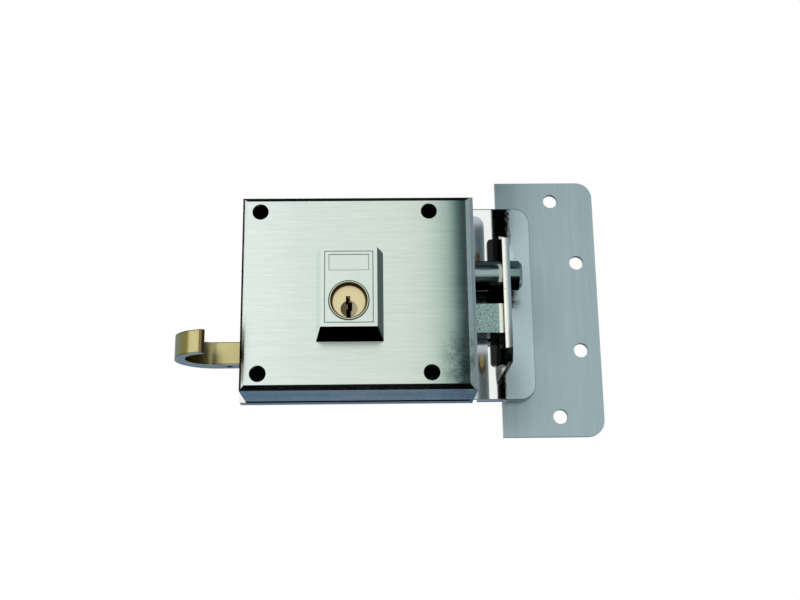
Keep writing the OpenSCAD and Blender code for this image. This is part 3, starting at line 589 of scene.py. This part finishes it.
class LOCK_OT_cover(LockOperator):
    """Pressed cover with brushed faces and bends round its edge"""

    bl_idname = "lock.make_cover"
    bl_label = "Cover"

    def execute(self, context):
        bm = copy_of("cover")
        bevel_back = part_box("cover")[0].y + 2.1 * MM
        # Dark speckles and blotches over the cover's lower right.
        dark_speckles = (34 * MM, -14 * MM, 12 * MM)
        round_edges(bm, self.edges.cover, 4, lambda edge: middle(edge).y < bevel_back, 25.0)
        finish = brushed("brushed cover plate", tuple(self.finish.cover), (130, 130, 3600),
                         self.finish.cover_gloss, dark_speckles=dark_speckles)
        settle("cover_shell", bm, finish, "cover_steel", "lock", "cover", crease=30.0)
        return {"FINISHED"}


class LOCK_OT_back(LockOperator):
    """Base tray, front plate with its lip, and the tubes and screws that tie the case together"""

    bl_idname = "lock.make_back"
    bl_label = "Tray and front plate"

    def execute(self, context):
        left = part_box("cover")[0].x
        # Painted highlight: a pale band on the tray's foot where it shows left of the cover.
        painted_highlight_edge = ("x", left - 0.1 * MM, left - 0.4 * MM, (0.92, 0.95, 0.92))
        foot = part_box("base_tray")[1].y - 5.3 * MM
        # Painted shadow: black on the tray's rim in the gap under the cover's edge.
        painted_gap_shadow = ("y", foot, foot - 0.2 * MM, (0.01, 0.01, 0.012))
        tray = plated("tray plating", tuple(self.finish.tray), 0.2, patches=[painted_gap_shadow, painted_highlight_edge])
        bm = copy_of("base_tray")
        round_edges(bm, self.edges.sheet, 3)
        settle("tray_pan", bm, tray, "tray_steel", "lock", "base_tray")
        brown_spots = [((56.2 * MM, 0.0, -25.5 * MM), (1.8 * MM, 0.0, 4.6 * MM), (0.26, 0.17, 0.10)),
                       ((56.4 * MM, 0.0, -24.0 * MM), (1.1 * MM, 0.0, 3.4 * MM), (0.95, 0.72, 0.36)),
                       ((55.9 * MM, 0.0, 21.0 * MM), (1.5 * MM, 0.0, 3.2 * MM), (0.30, 0.20, 0.12))]
        plate = brushed("front plate brushing", tuple(self.finish.plate), (900, 900, 90), 0.1, 0.08,
                        spots=brown_spots)
        bm = copy_of("front_plate")
        round_edges(bm, self.edges.sheet, 3)
        settle("bolt_plate", bm, plate, "plate_steel", "lock", "front_plate")
        bm = copy_of("spacer_tubes")
        round_edges(bm, self.edges.tubes, 2)
        # Painted shade: the fixing tubes are near black and almost without gloss, so the fixing holes read dark.
        tubes = plated("tube blacking", (0.006, 0.006, 0.007), 0.8, Metallic=0.0, Specular_IOR_Level=0.02)
        settle("fixing_tubes", bm, tubes, "plain_steel", "lock", "spacer_tubes")
        self.screws()
        return {"FINISHED"}

    def screws(self):
        """Four countersunk screws from behind, and four flat headed ones that hold the housing."""
        dark = plated("screw plating", (0.22, 0.23, 0.24), 0.3)
        recipe = screw_recipe()
        shank, sunk_head, flat_head = 3 * MM, 5.8 * MM, 5.6 * MM
        for name, node, head, head_depth, recess, seat in (
                ("cover_screw_heads", "cover_screws", sunk_head, (sunk_head - shank) / 2, 3.2 * MM, shank),
                ("housing_screw_heads", "housing_screws", flat_head, 1.8 * MM, 3 * MM, flat_head)):
            low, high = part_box(node)
            size = high - low
            piece = recipe.make(name, Across=size.x - head, Up=size.z - head, Head=head, Shank=shank,
                                Head_Depth=head_depth, Length=size.y, Recess=recess, Seat=seat,
                                Centre=((low.x + high.x) / 2, high.y, (low.z + high.z) / 2), Material=dark)
            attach(piece, "lock")
            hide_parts(node)


class LOCK_OT_housing(LockOperator):
    """Cast cylinder housing with its engraved frame and label field"""

    bl_idname = "lock.make_housing"
    bl_label = "Cylinder housing"

    def execute(self, context):
        bm = copy_of("cylinder_housing")
        low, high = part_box("cylinder_housing")
        top = low.y
        slope, field, line_depth = 2.9 * MM, 3.6 * MM, 0.4 * MM

        def engraved(edge):
            place = middle(edge)
            return within(place, low, high, field) and place.y < top + line_depth

        def outline(edge):
            place = middle(edge)
            return not within(place, low, high, slope) and place.y < high.y - 0.1 * MM

        round_edges(bm, self.edges.casting, 4, outline)
        round_edges(bm, self.edges.engraving, 2, engraved)
        self.shade_sunk_lines(bm, low, high)
        label = (Vector((-5.7 * MM, 0.0, 4.05 * MM)), Vector((9.7 * MM, 0.0, 10.35 * MM)))
        casting = cast_satin("satin casting", tuple(self.finish.housing), top, label)
        # Painted shade for the faces of the engraved lines.
        lines = plated("engraved line filling", tuple(self.finish.engraved), 0.5)
        # Painted shade: the right side and the underside take a darker glossy plating, near black low down.
        painted_shade_low = ("z", low.z + 3 * MM, low.z + 2.5 * MM, (0.006, 0.008, 0.008))
        sides = plated("glossy side plating", tuple(self.finish.housing_painted_shade), 0.12, patches=[painted_shade_low],
                       Specular_Tint=(0.19, 0.21, 0.235))
        for face in bm.faces:
            if face.normal.x > 0.8 or face.normal.z < -0.8:
                face.material_index = 2
        settle("housing_casting", bm, [casting, lines, sides], "housing_metal", "lock", "cylinder_housing")
        return {"FINISHED"}

    def shade_sunk_lines(self, bm, low, high):
        """Gives the sunk faces the second material, a painted shade, apart from the label's wide floor."""
        widest = 60 * MM ** 2
        for face in bm.faces:
            place = face.calc_center_median()
            sunk = low.y + 0.03 * MM < place.y < low.y + 0.6 * MM
            if within(place, low, high, 3.2 * MM) and sunk and face.calc_area() < widest:
                face.material_index = 1


class LOCK_OT_cylinder(LockOperator):
    """Key cylinder: bright ring, brass plug with its keyway, and the disc round it"""

    bl_idname = "lock.make_cylinder"
    bl_label = "Key cylinder"

    def execute(self, context):
        low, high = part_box("cylinder_plug")
        centre = ((low.x + high.x) / 2, 0.0, (low.z + high.z) / 2)
        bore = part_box("cylinder_body")[1].x - centre[0]
        # Painted shade on the ring: dark towards its bore, and a dark olive line round its outer edge.
        shadow, olive_edge_shade = (0.05, 0.045, 0.025), (0.05, 0.07, 0.045)
        ring_bands = [(bore - 0.6 * MM, bore - 0.7 * MM, shadow), (bore - 0.38 * MM, bore - 0.28 * MM, olive_edge_shade)]
        ring = turned("bright ring", tuple(self.finish.ring), centre, 0.16, 0.05 * MM, bands=ring_bands)
        bm = copy_of("cylinder_body")
        round_edges(bm, self.edges.rings, 3)
        settle("cylinder_ring", bm, ring, "cylinder_nickel", "lock", "cylinder_body")
        radius = high.x - centre[0]
        # Painted shade: faces deeper than the plug's front go near black, so the keyway reads dark.
        keyway_shade = ("y", low.y + 0.25 * MM, low.y + 1.2 * MM, (0.02, 0.016, 0.01))
        copper = (0.36, 0.15, 0.05)
        brass = turned("champagne brass", tuple(self.finish.plug), centre, 0.3, 0.12 * MM, patches=[keyway_shade],
                       bands=[(radius - 0.45 * MM, radius - 0.15 * MM, copper)])
        bm = copy_of("cylinder_plug")
        round_edges(bm, self.edges.rings, 3)
        settle("plug_face", bm, brass, "plug_brass", "plug", "cylinder_plug")
        # Painted light: the disc turns lighter towards its right.
        wear_and_light = ("x", centre[0] - 1.5 * MM, centre[0] + 2.6 * MM, (0.46, 0.40, 0.28))
        bronze = turned("dark bronze", tuple(self.finish.disc), centre, 0.34, 0.09 * MM,
                        patches=[wear_and_light, keyway_shade])
        bm = copy_of("keyway_disc")
        round_edges(bm, self.edges.disc, 2)
        settle("keyway_insert", bm, bronze, "disc_bronze", "plug", "keyway_disc")
        return {"FINISHED"}


class LOCK_OT_bolts(LockOperator):
    """Round bolt and grainy latch bolt"""

    bl_idname = "lock.make_bolts"
    bl_label = "Bolts"

    def execute(self, context):
        bm = copy_of("round_bolt")
        round_edges(bm, self.edges.bolt, 3)
        settle("bolt_bar", bm, dark_satin("oiled bolt steel", tuple(self.finish.bolt)),
               "bolt_steel", "carriage", "round_bolt")
        bm = copy_of("latch_bolt")
        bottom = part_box("latch_bolt")[0].z
        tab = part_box("tab_angle")[1].x - 1.7 * MM
        # Painted highlight: a near white strip at the latch's right end.
        painted_highlight_strip = ("x", tab - 1.9 * MM, tab - 1.6 * MM, (0.80, 0.88, 0.82))
        # Painted shade: dark along the latch's underside.
        painted_shade_underside = ("z", bottom + 0.3 * MM, bottom + 0.1 * MM, (0.05, 0.06, 0.06))
        round_edges(bm, self.edges.latch, 3)
        settle("latch_head", bm, sintered("grainy latch", tuple(self.finish.latch), [painted_highlight_strip, painted_shade_underside]),
               "latch_zinc", "latch", "latch_bolt")
        return {"FINISHED"}


class LOCK_OT_hook(LockOperator):
    """Pull hook bent from a brass strip"""

    bl_idname = "lock.make_hook"
    bl_label = "Pull hook"

    def execute(self, context):
        bm = copy_of("pull_hook")
        low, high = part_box("pull_hook")
        tip = low.x + 14 * MM

        def outer_tip(edge):
            place = middle(edge)
            upright = abs(edge.verts[0].co.z - edge.verts[1].co.z) > 8 * MM
            return upright and abs(place.x - tip) < 3 * MM and place.y < low.y + 1.2 * MM

        round_edges(bm, self.edges.hook_tip, 6, outer_tip, 20.0)
        round_edges(bm, self.edges.hook, 3)
        steel, gold = tuple(self.finish.hook_cut), tuple(self.finish.hook)
        along = (900, 900, 70)
        cuts = [("z", low.z + 0.55 * MM, low.z + 0.4 * MM, shade(gold, 0.2)),
                ("z", high.z - 0.5 * MM, high.z - 0.35 * MM, shade(gold, 0.3)),
                ("z", low.z + 0.14 * MM, low.z + 0.06 * MM, steel),
                ("z", high.z - 0.14 * MM, high.z - 0.06 * MM, steel)]
        hole = Vector(next(mount["pos_m"] for mount in frame["record"]["mounts"]
                           if mount["name"] == "hook_cross_hole"))
        # Painted shade: a dark oval on the strap round the cross hole.
        rim = [(tuple(hole), (1.7 * MM, 1.9 * MM, 0.0), (0.015, 0.017, 0.015))]
        brass = brushed("satin brass", gold, along, 0.2, 0.07, turn=0.0, anisotropic=0.3, patches=cuts,
                        spots=rim)
        # The faces round the hook's rounded free end are dark brown.
        dark_brown_tip = plated("brown tip", (0.22, 0.17, 0.075), 0.3)
        shadow = [("x", low.x + 16.6 * MM, low.x + 14.8 * MM, shade(gold, 0.5)),
                  ("x", low.x + 14 * MM, low.x + 11 * MM, shade(gold, 0.3))]
        inner = brushed("darkened brass", gold, along, 0.24, 0.07, turn=0.0, anisotropic=0.3,
                        patches=shadow + cuts)
        # Painted shade: the cross hole's walls are near black.
        black = plated("hole blacking", (0.01, 0.01, 0.008), 0.6)
        hollow, hollow_reach = Vector((-54.5 * MM, -22.2 * MM)), 10.8 * MM
        strap_front = high.y - 8.5 * MM
        for face in bm.faces:
            place = face.calc_center_median()
            on_tip = place.y < low.y + 3 * MM and place.x > tip - 2.3 * MM
            in_hole = (place.xy - hole.xy).length < 1.6 * MM and abs(face.normal.z) < 0.98
            in_hollow = abs(face.normal.z) < 0.5 and (place.xy - hollow).length < hollow_reach
            on_strap = face.normal.y < -0.5 and place.y > strap_front
            if on_tip:
                face.material_index = 1
            elif in_hole:
                face.material_index = 2
            # The hollow of the bend and the strap's front take the brass with painted shadow.
            elif in_hollow or on_strap:
                face.material_index = 3
        settle("hook_strip", bm, [brass, dark_brown_tip, black, inner], "hook_brass", "carriage", "pull_hook")
        return {"FINISHED"}


class LOCK_OT_keeper(LockOperator):
    """Polished keeper with its rolled rim, the standing tab and the strike plate"""

    bl_idname = "lock.make_keeper"
    bl_label = "Keeper"

    def execute(self, context):
        keeper_low, keeper_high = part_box("keeper_plate")
        tab_low, tab_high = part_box("tab_angle")
        bm = copy_of("keeper_plate")

        def rim(edge):
            place = middle(edge)
            return place.y < keeper_low.y + 0.1 * MM and place.x > keeper_low.x + 0.1 * MM

        round_edges(bm, self.edges.press, 5, rim)
        round_edges(bm, self.edges.sheet, 2)
        polish = tuple(self.finish.keeper)
        sheet = half_polished("half polished plate", polish, tuple(self.finish.keeper_satin),
                              keeper_high.x - 12.7 * MM, lean=(-20 * MM, 0.0, 4.4 * MM), ragged=1.6 * MM)
        settle("keeper_sheet", bm, sheet, "keeper_chrome", "keeper", "keeper_plate")
        bm = copy_of("tab_angle")
        round_edges(bm, self.edges.sheet, 3)
        # Painted shade on the tab: dark at its lower end, near black on its foot and dark brown towards its back.
        painted_shade_end = ("z", tab_low.z + 5.5 * MM, tab_low.z + 5.2 * MM, (0.05, 0.055, 0.06))
        foot = ("y", tab_high.y - 3 * MM, tab_high.y - 2.4 * MM, (0.02, 0.02, 0.02))
        painted_shade_back = ("y", tab_low.y + 10.4 * MM, tab_low.y + 11 * MM, (0.07, 0.05, 0.035))
        tab = half_polished("polished tab", polish, tuple(self.finish.tab_satin), tab_high.x - 1.3 * MM,
                            patches=[painted_shade_end, painted_shade_back, foot])
        settle("tab_sheet", bm, tab, "keeper_chrome", "keeper", "tab_angle")
        bm = copy_of("strike_plate")
        round_edges(bm, self.edges.sheet, 3)
        strike = brushed("brushed strike plate", tuple(self.finish.strike), (1500, 1500, 45),
                         self.finish.strike_gloss, 0.07, turn=0.0, anisotropic=0.5)
        low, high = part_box("strike_plate")
        # Painted shade: the walls of the strike plate's holes are dark.
        hole_wall_shade = plated("hole wall plating", (0.12, 0.16, 0.17), 0.4)
        for face in bm.faces:
            if abs(face.normal.y) < 0.5 and within(face.calc_center_median(), low, high, 4 * MM):
                face.material_index = 1
        settle("strike_sheet", bm, [strike, hole_wall_shade], "strike_steel", "keeper", "strike_plate")
        carry_over(strike, "keeper_studs")
        return {"FINISHED"}


class LOCK_OT_inside(LockOperator):
    """Finishes for the works inside the case, and its two coil springs"""

    bl_idname = "lock.finish_inside"
    bl_label = "Works inside"

    def execute(self, context):
        steel = plated("inner plating", (0.50, 0.52, 0.52), 0.3)
        carry_over(steel, "cover_posts", "guide_studs", "guide_washers", "latch_guide", "stem_bracket",
                   "spring_rod", "rod_brackets", "cylinder_cam")
        dark = plated("dark plating", (0.20, 0.21, 0.22), 0.32)
        carry_over(dark, "cylinder_clip", "cam_screw", "guide_clips", "bolt_screw", "stem_clip")
        carry_over(plated("carriage plating", (0.38, 0.42, 0.44), 0.32), "carriage")
        carry_over(plated("turned pin brass", (0.62, 0.45, 0.18), 0.24), "key_pins", "driver_pins",
                   "bolt_bush", "hook_rivets")
        wire = plated("drawn wire", (0.56, 0.58, 0.58), 0.2)
        carry_over(wire, "pin_springs")
        self.springs(wire)
        return {"FINISHED"}

    def springs(self, wire):
        """The two coil springs, each made a piece of its own with its own mesh."""
        stroke = next(joint["range_m"][1] for joint in frame["joints"] if joint["name"] == "pull_slide")
        for name, node in (("return_coil", "return_spring"), ("latch_coil", "latch_spring")):
            low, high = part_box(node)
            free = high.x - low.x
            piece = settle(name, copy_of(node), wire, "spring_steel", "lock", node)
            (free - stroke) / free
            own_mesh(piece)


class LOCK_OT_stage(bpy.types.Operator):
    """Floor, lamps, reflector cards, world and camera"""

    bl_idname = "lock.make_stage"
    bl_label = "Stage"
    bl_options = {"REGISTER", "UNDO"}
    case_card_sides = (-45, 52.8)

    def execute(self, context):
        settings = context.scene.lock_stage
        context.scene.view_settings.view_transform = "Standard"
        self.camera(context, settings)
        self.world(context, settings)
        self.floor(context, settings)
        self.lamps(context, settings)
        self.cards(context)
        return {"FINISHED"}

    def camera(self, context, settings):
        """Looks up at the case by about 15 degrees and to the right by one."""
        right = Vector((0.99976, -0.01796, -0.01269))
        up = Vector((0.00756, -0.26130, 0.96523))
        ahead = Vector((0.02065, 0.96509, 0.26110))
        data = bpy.data.cameras.new("camera")
        data.sensor_width = 36.0
        data.sensor_fit = "HORIZONTAL"
        data.lens = settings.lens
        data.clip_start = 0.01
        camera = bpy.data.objects.new("camera", data)
        camera.matrix_world = Matrix((right, up, -ahead)).transposed().to_4x4()
        camera.location = (12.675 * MM, -470.494 * MM, -122.117 * MM)
        context.scene.collection.objects.link(camera)
        context.scene.camera = camera

    def world(self, context, settings):
        """White where the camera or a reflection sees it, and a plain fill everywhere else."""
        world = bpy.data.worlds.new("plain studio")
        world.use_nodes = True
        world.node_tree.nodes.clear()
        tree = Tree(world.node_tree)
        seen = [tree.node("ShaderNodeLightPath", None, None, ray)
                for ray in ("Is Camera Ray", "Is Glossy Ray", "Is Transmission Ray")]
        white = (seen[0] + seen[1] + seen[2]) > 0.5
        level = white + (1.0 - white) * settings.fill
        sky = tree.node("ShaderNodeBackground", None, {"Color": (1.0, 1.0, 1.0), "Strength": level})
        tree.node("ShaderNodeOutputWorld", None, [sky])
        context.scene.world = world

    def floor(self, context, settings):
        mesh = bpy.data.meshes.new("floor")
        half = 2.0
        mesh.from_pydata([(-half, -half, -settings.floor), (half, -half, -settings.floor),
                          (half, half, -settings.floor), (-half, half, -settings.floor)], [], [(0, 1, 2, 3)])
        paint = Paint("pale floor", Roughness=0.8)
        paint.feed(paint.shader.inputs["Metallic"], 0.0)
        cloud = paint.noise((3, 3, 3))
        mesh.materials.append(paint.wear(Base_Color=paint.blend(cloud, (0.86, 0.87, 0.87), (0.9, 0.9, 0.9))))
        floor = bpy.data.objects.new("floor", mesh)
        context.scene.collection.objects.link(floor)

    def lamps(self, context, settings):
        """Two soft lamps, which reflections don't show."""
        for name, place, power, size in (("key lamp", (-0.5, -0.9, 0.8), settings.key, 0.9),
                                         ("rim lamp", (0.7, 0.5, 0.6), settings.key * 0.5, 0.7)):
            data = bpy.data.lights.new(name, "AREA")
            data.energy = power
            data.size = size
            lamp = bpy.data.objects.new(name, data)
            lamp.location = place
            lamp.rotation_mode = "QUATERNION"
            lamp.rotation_quaternion = (-Vector(place)).to_track_quat("-Z", "Y")
            lamp.visible_glossy = False
            context.scene.collection.objects.link(lamp)

    def cards(self, context):
        """Cards that only reflections show, as a product photographer stands them round polished metal.

        Each has the axis it lies across, its place there and its limits along the other two, in
        millimetres, and a colour."""
        black = (0.0, 0.0, 0.0)
        ink = (0.02, 0.03, 0.04)
        gloom = (0.11, 0.14, 0.15)
        dusk = (0.088, 0.148, 0.228)
        slate = (0.30, 0.40, 0.43)
        pale = (0.50, 0.58, 0.60)
        steel = (0.20, 0.25, 0.27)
        lip_upper = (0.13, 0.165, 0.175)
        lip_lower = (0.14, 0.155, 0.15)
        mist = (0.44, 0.49, 0.50)
        cream = (1.0, 0.97, 0.88)
        edge = (0.28, 0.35, 0.37)
        lilac = (0.36, 0.42, 0.46)
        straw = (0.31, 0.295, 0.16)
        sky = (0.27, 0.33, 0.40)
        bronze = (0.06, 0.045, 0.015)
        for name, axis, place, first, second, colour in (
                ("low_card", "z", -160, (-600, 600), (-500, -4), black),
                ("high_card", "z", 320, (-600, 600), (-450, 400), gloom),
                ("top_edge_card", "z", 52, (-45, 55), (-35, -26), black),
                ("behind_card", "y", 300, (-600, 600), (-600, -60), dusk),
                ("right_card", "x", 500, (-550, 300), (-100, 600), slate),
                ("front_right_card", "y", -600, (132, 500), (-150, 700), pale),
                ("lip_card_upper", "y", -60, (58.9, 64.1), (31, 53.5), lip_upper),
                ("lip_card_lower", "y", -60, (58.9, 64.1), (-34, -9), lip_lower),
                ("keeper_card_upper", "y", -60, (68.1, 77), (43.8, 85), black),
                ("keeper_card_lower", "y", -60, (68.1, 77), (-45, -12), black),
                ("bolt_card", "z", 95, (50, 74.5), (-130, 0), ink),
                ("bolt_line_card", "z", 94, (50, 74.5), (-29, -22), steel),
                ("satin_card", "y", -60, (71.3, 86), (-4, 34), mist),
                ("tab_card", "y", -22.6, (63.5, 64.8), (-21.3, 27), cream),
                ("pocket_card", "z", 3.5, (53, 74), (-23, -9.8), black),
                ("plate_card", "y", -60, (52.8, 55.7), (-60, 70), lilac),
                ("left_edge_card", "x", -43, (-32.6, -28), (-42, 48), black),
                ("right_edge_card", "x", 53.5, (-34.5, -28.5), (-42, 48), edge),
                ("hook_card_front", "x", -75, (-37, -29), (-30, -6), straw),
                ("hook_card_back", "x", -75, (-29, -12), (-30, -6), sky),
                ("strap_card_front", "x", -43, (-60, -34.6), (-30, -8), bronze),
                ("strap_card_back", "x", -43, (-27.9, -13), (-30, -8), bronze)):
            self.card(context, name, axis, place, first, second, lambda paint, colour=colour: colour)
        self.card(context, "case_card", "y", -60, self.case_card_sides, (-60, 70), self.darkening)

    def darkening(self, paint):
        """From white to black towards the right, along a line that wavers from one height to the next."""
        waver = paint.noise((20, 20, 350), 2.0, 0.6)
        mottle = paint.noise((200, 200, 900), 3.0, 0.7)
        left, right = [part * MM for part in self.case_card_sides]
        near = paint.fade(paint.axis(0), 36 * MM, 46 * MM)
        shift = (waver - 0.5) * 4 * MM + (mottle - 0.5) * near * 4 * MM
        across = (paint.axis(0) + shift - left) / (right - left)
        levels = ((-41, (1.0, 1.0, 1.0)), (-19.7, (0.89, 0.93, 0.92)), (22.6, (0.82, 0.85, 0.795)),
                  (33.2, (0.74, 0.79, 0.72)), (39.6, (0.566, 0.64, 0.60)), (43.8, (0.38, 0.48, 0.46)),
                  (48.05, (0.065, 0.115, 0.118)), (50.2, (0.015, 0.026, 0.03)),
                  (52.8, (0.006, 0.009, 0.01)))
        stops = [((place * MM - left) / (right - left), level) for place, level in levels]
        return paint.ramp(across, *stops)

    def card(self, context, name, axis, place, first, second, paint_it):
        """A flat card across one axis, between two pairs of limits on the other two axes in order."""
        corners = [(first[0], second[0]), (first[1], second[0]), (first[1], second[1]), (first[0], second[1])]
        index = "xyz".index(axis)
        points = [[part * MM for part in (*pair[:index], place, *pair[index:])] for pair in corners]
        mesh = bpy.data.meshes.new(name)
        mesh.from_pydata(points, [], [(0, 1, 2, 3)])
        paint = Glow(name)
        mesh.materials.append(paint.wear(Color=paint_it(paint)))
        card = bpy.data.objects.new(name, mesh)
        card.visible_camera = False
        card.visible_diffuse = False
        card.visible_transmission = False
        card.visible_shadow = False
        context.scene.collection.objects.link(card)


class LOCK_PT_panel(bpy.types.Panel):
    """Settings and steps of the lock"""

    bl_label = "Rim lock"
    bl_idname = "LOCK_PT_panel"
    bl_space_type = "VIEW_3D"
    bl_region_type = "UI"
    bl_category = "Rim lock"

    def draw(self, context):
        for group in (context.scene.lock_edges, context.scene.lock_finish, context.scene.lock_stage):
            box = self.layout.box()
            for name in group.bl_rna.properties.keys():
                if name not in {"rna_type", "name"}:
                    box.prop(group, name)
        for operator in OPERATORS:
            self.layout.operator(operator.bl_idname)


GROUPS = {"lock_edges": LockEdgeSettings, "lock_finish": LockFinishSettings, "lock_stage": LockStageSettings}
OPERATORS = (LOCK_OT_cover, LOCK_OT_back, LOCK_OT_housing, LOCK_OT_cylinder, LOCK_OT_bolts, LOCK_OT_hook,
             LOCK_OT_keeper, LOCK_OT_inside, LOCK_OT_stage)


def register():
    for group in GROUPS.values():
        bpy.utils.register_class(group)
    for operator in OPERATORS:
        bpy.utils.register_class(operator)
    bpy.utils.register_class(LOCK_PT_panel)
    for name, group in GROUPS.items():
        setattr(bpy.types.Scene, name, bpy.props.PointerProperty(type=group))


def unregister():
    for name in GROUPS:
        delattr(bpy.types.Scene, name)
    bpy.utils.unregister_class(LOCK_PT_panel)
    for operator in reversed(OPERATORS):
        bpy.utils.unregister_class(operator)
    for group in GROUPS.values():
        bpy.utils.unregister_class(group)


def main():
    """Makes every piece and the stage."""
    register()
    for operator in OPERATORS:
        group, name = operator.bl_idname.split(".")
        getattr(getattr(bpy.ops, group), name)()


if __name__ == "__main__":
    main()
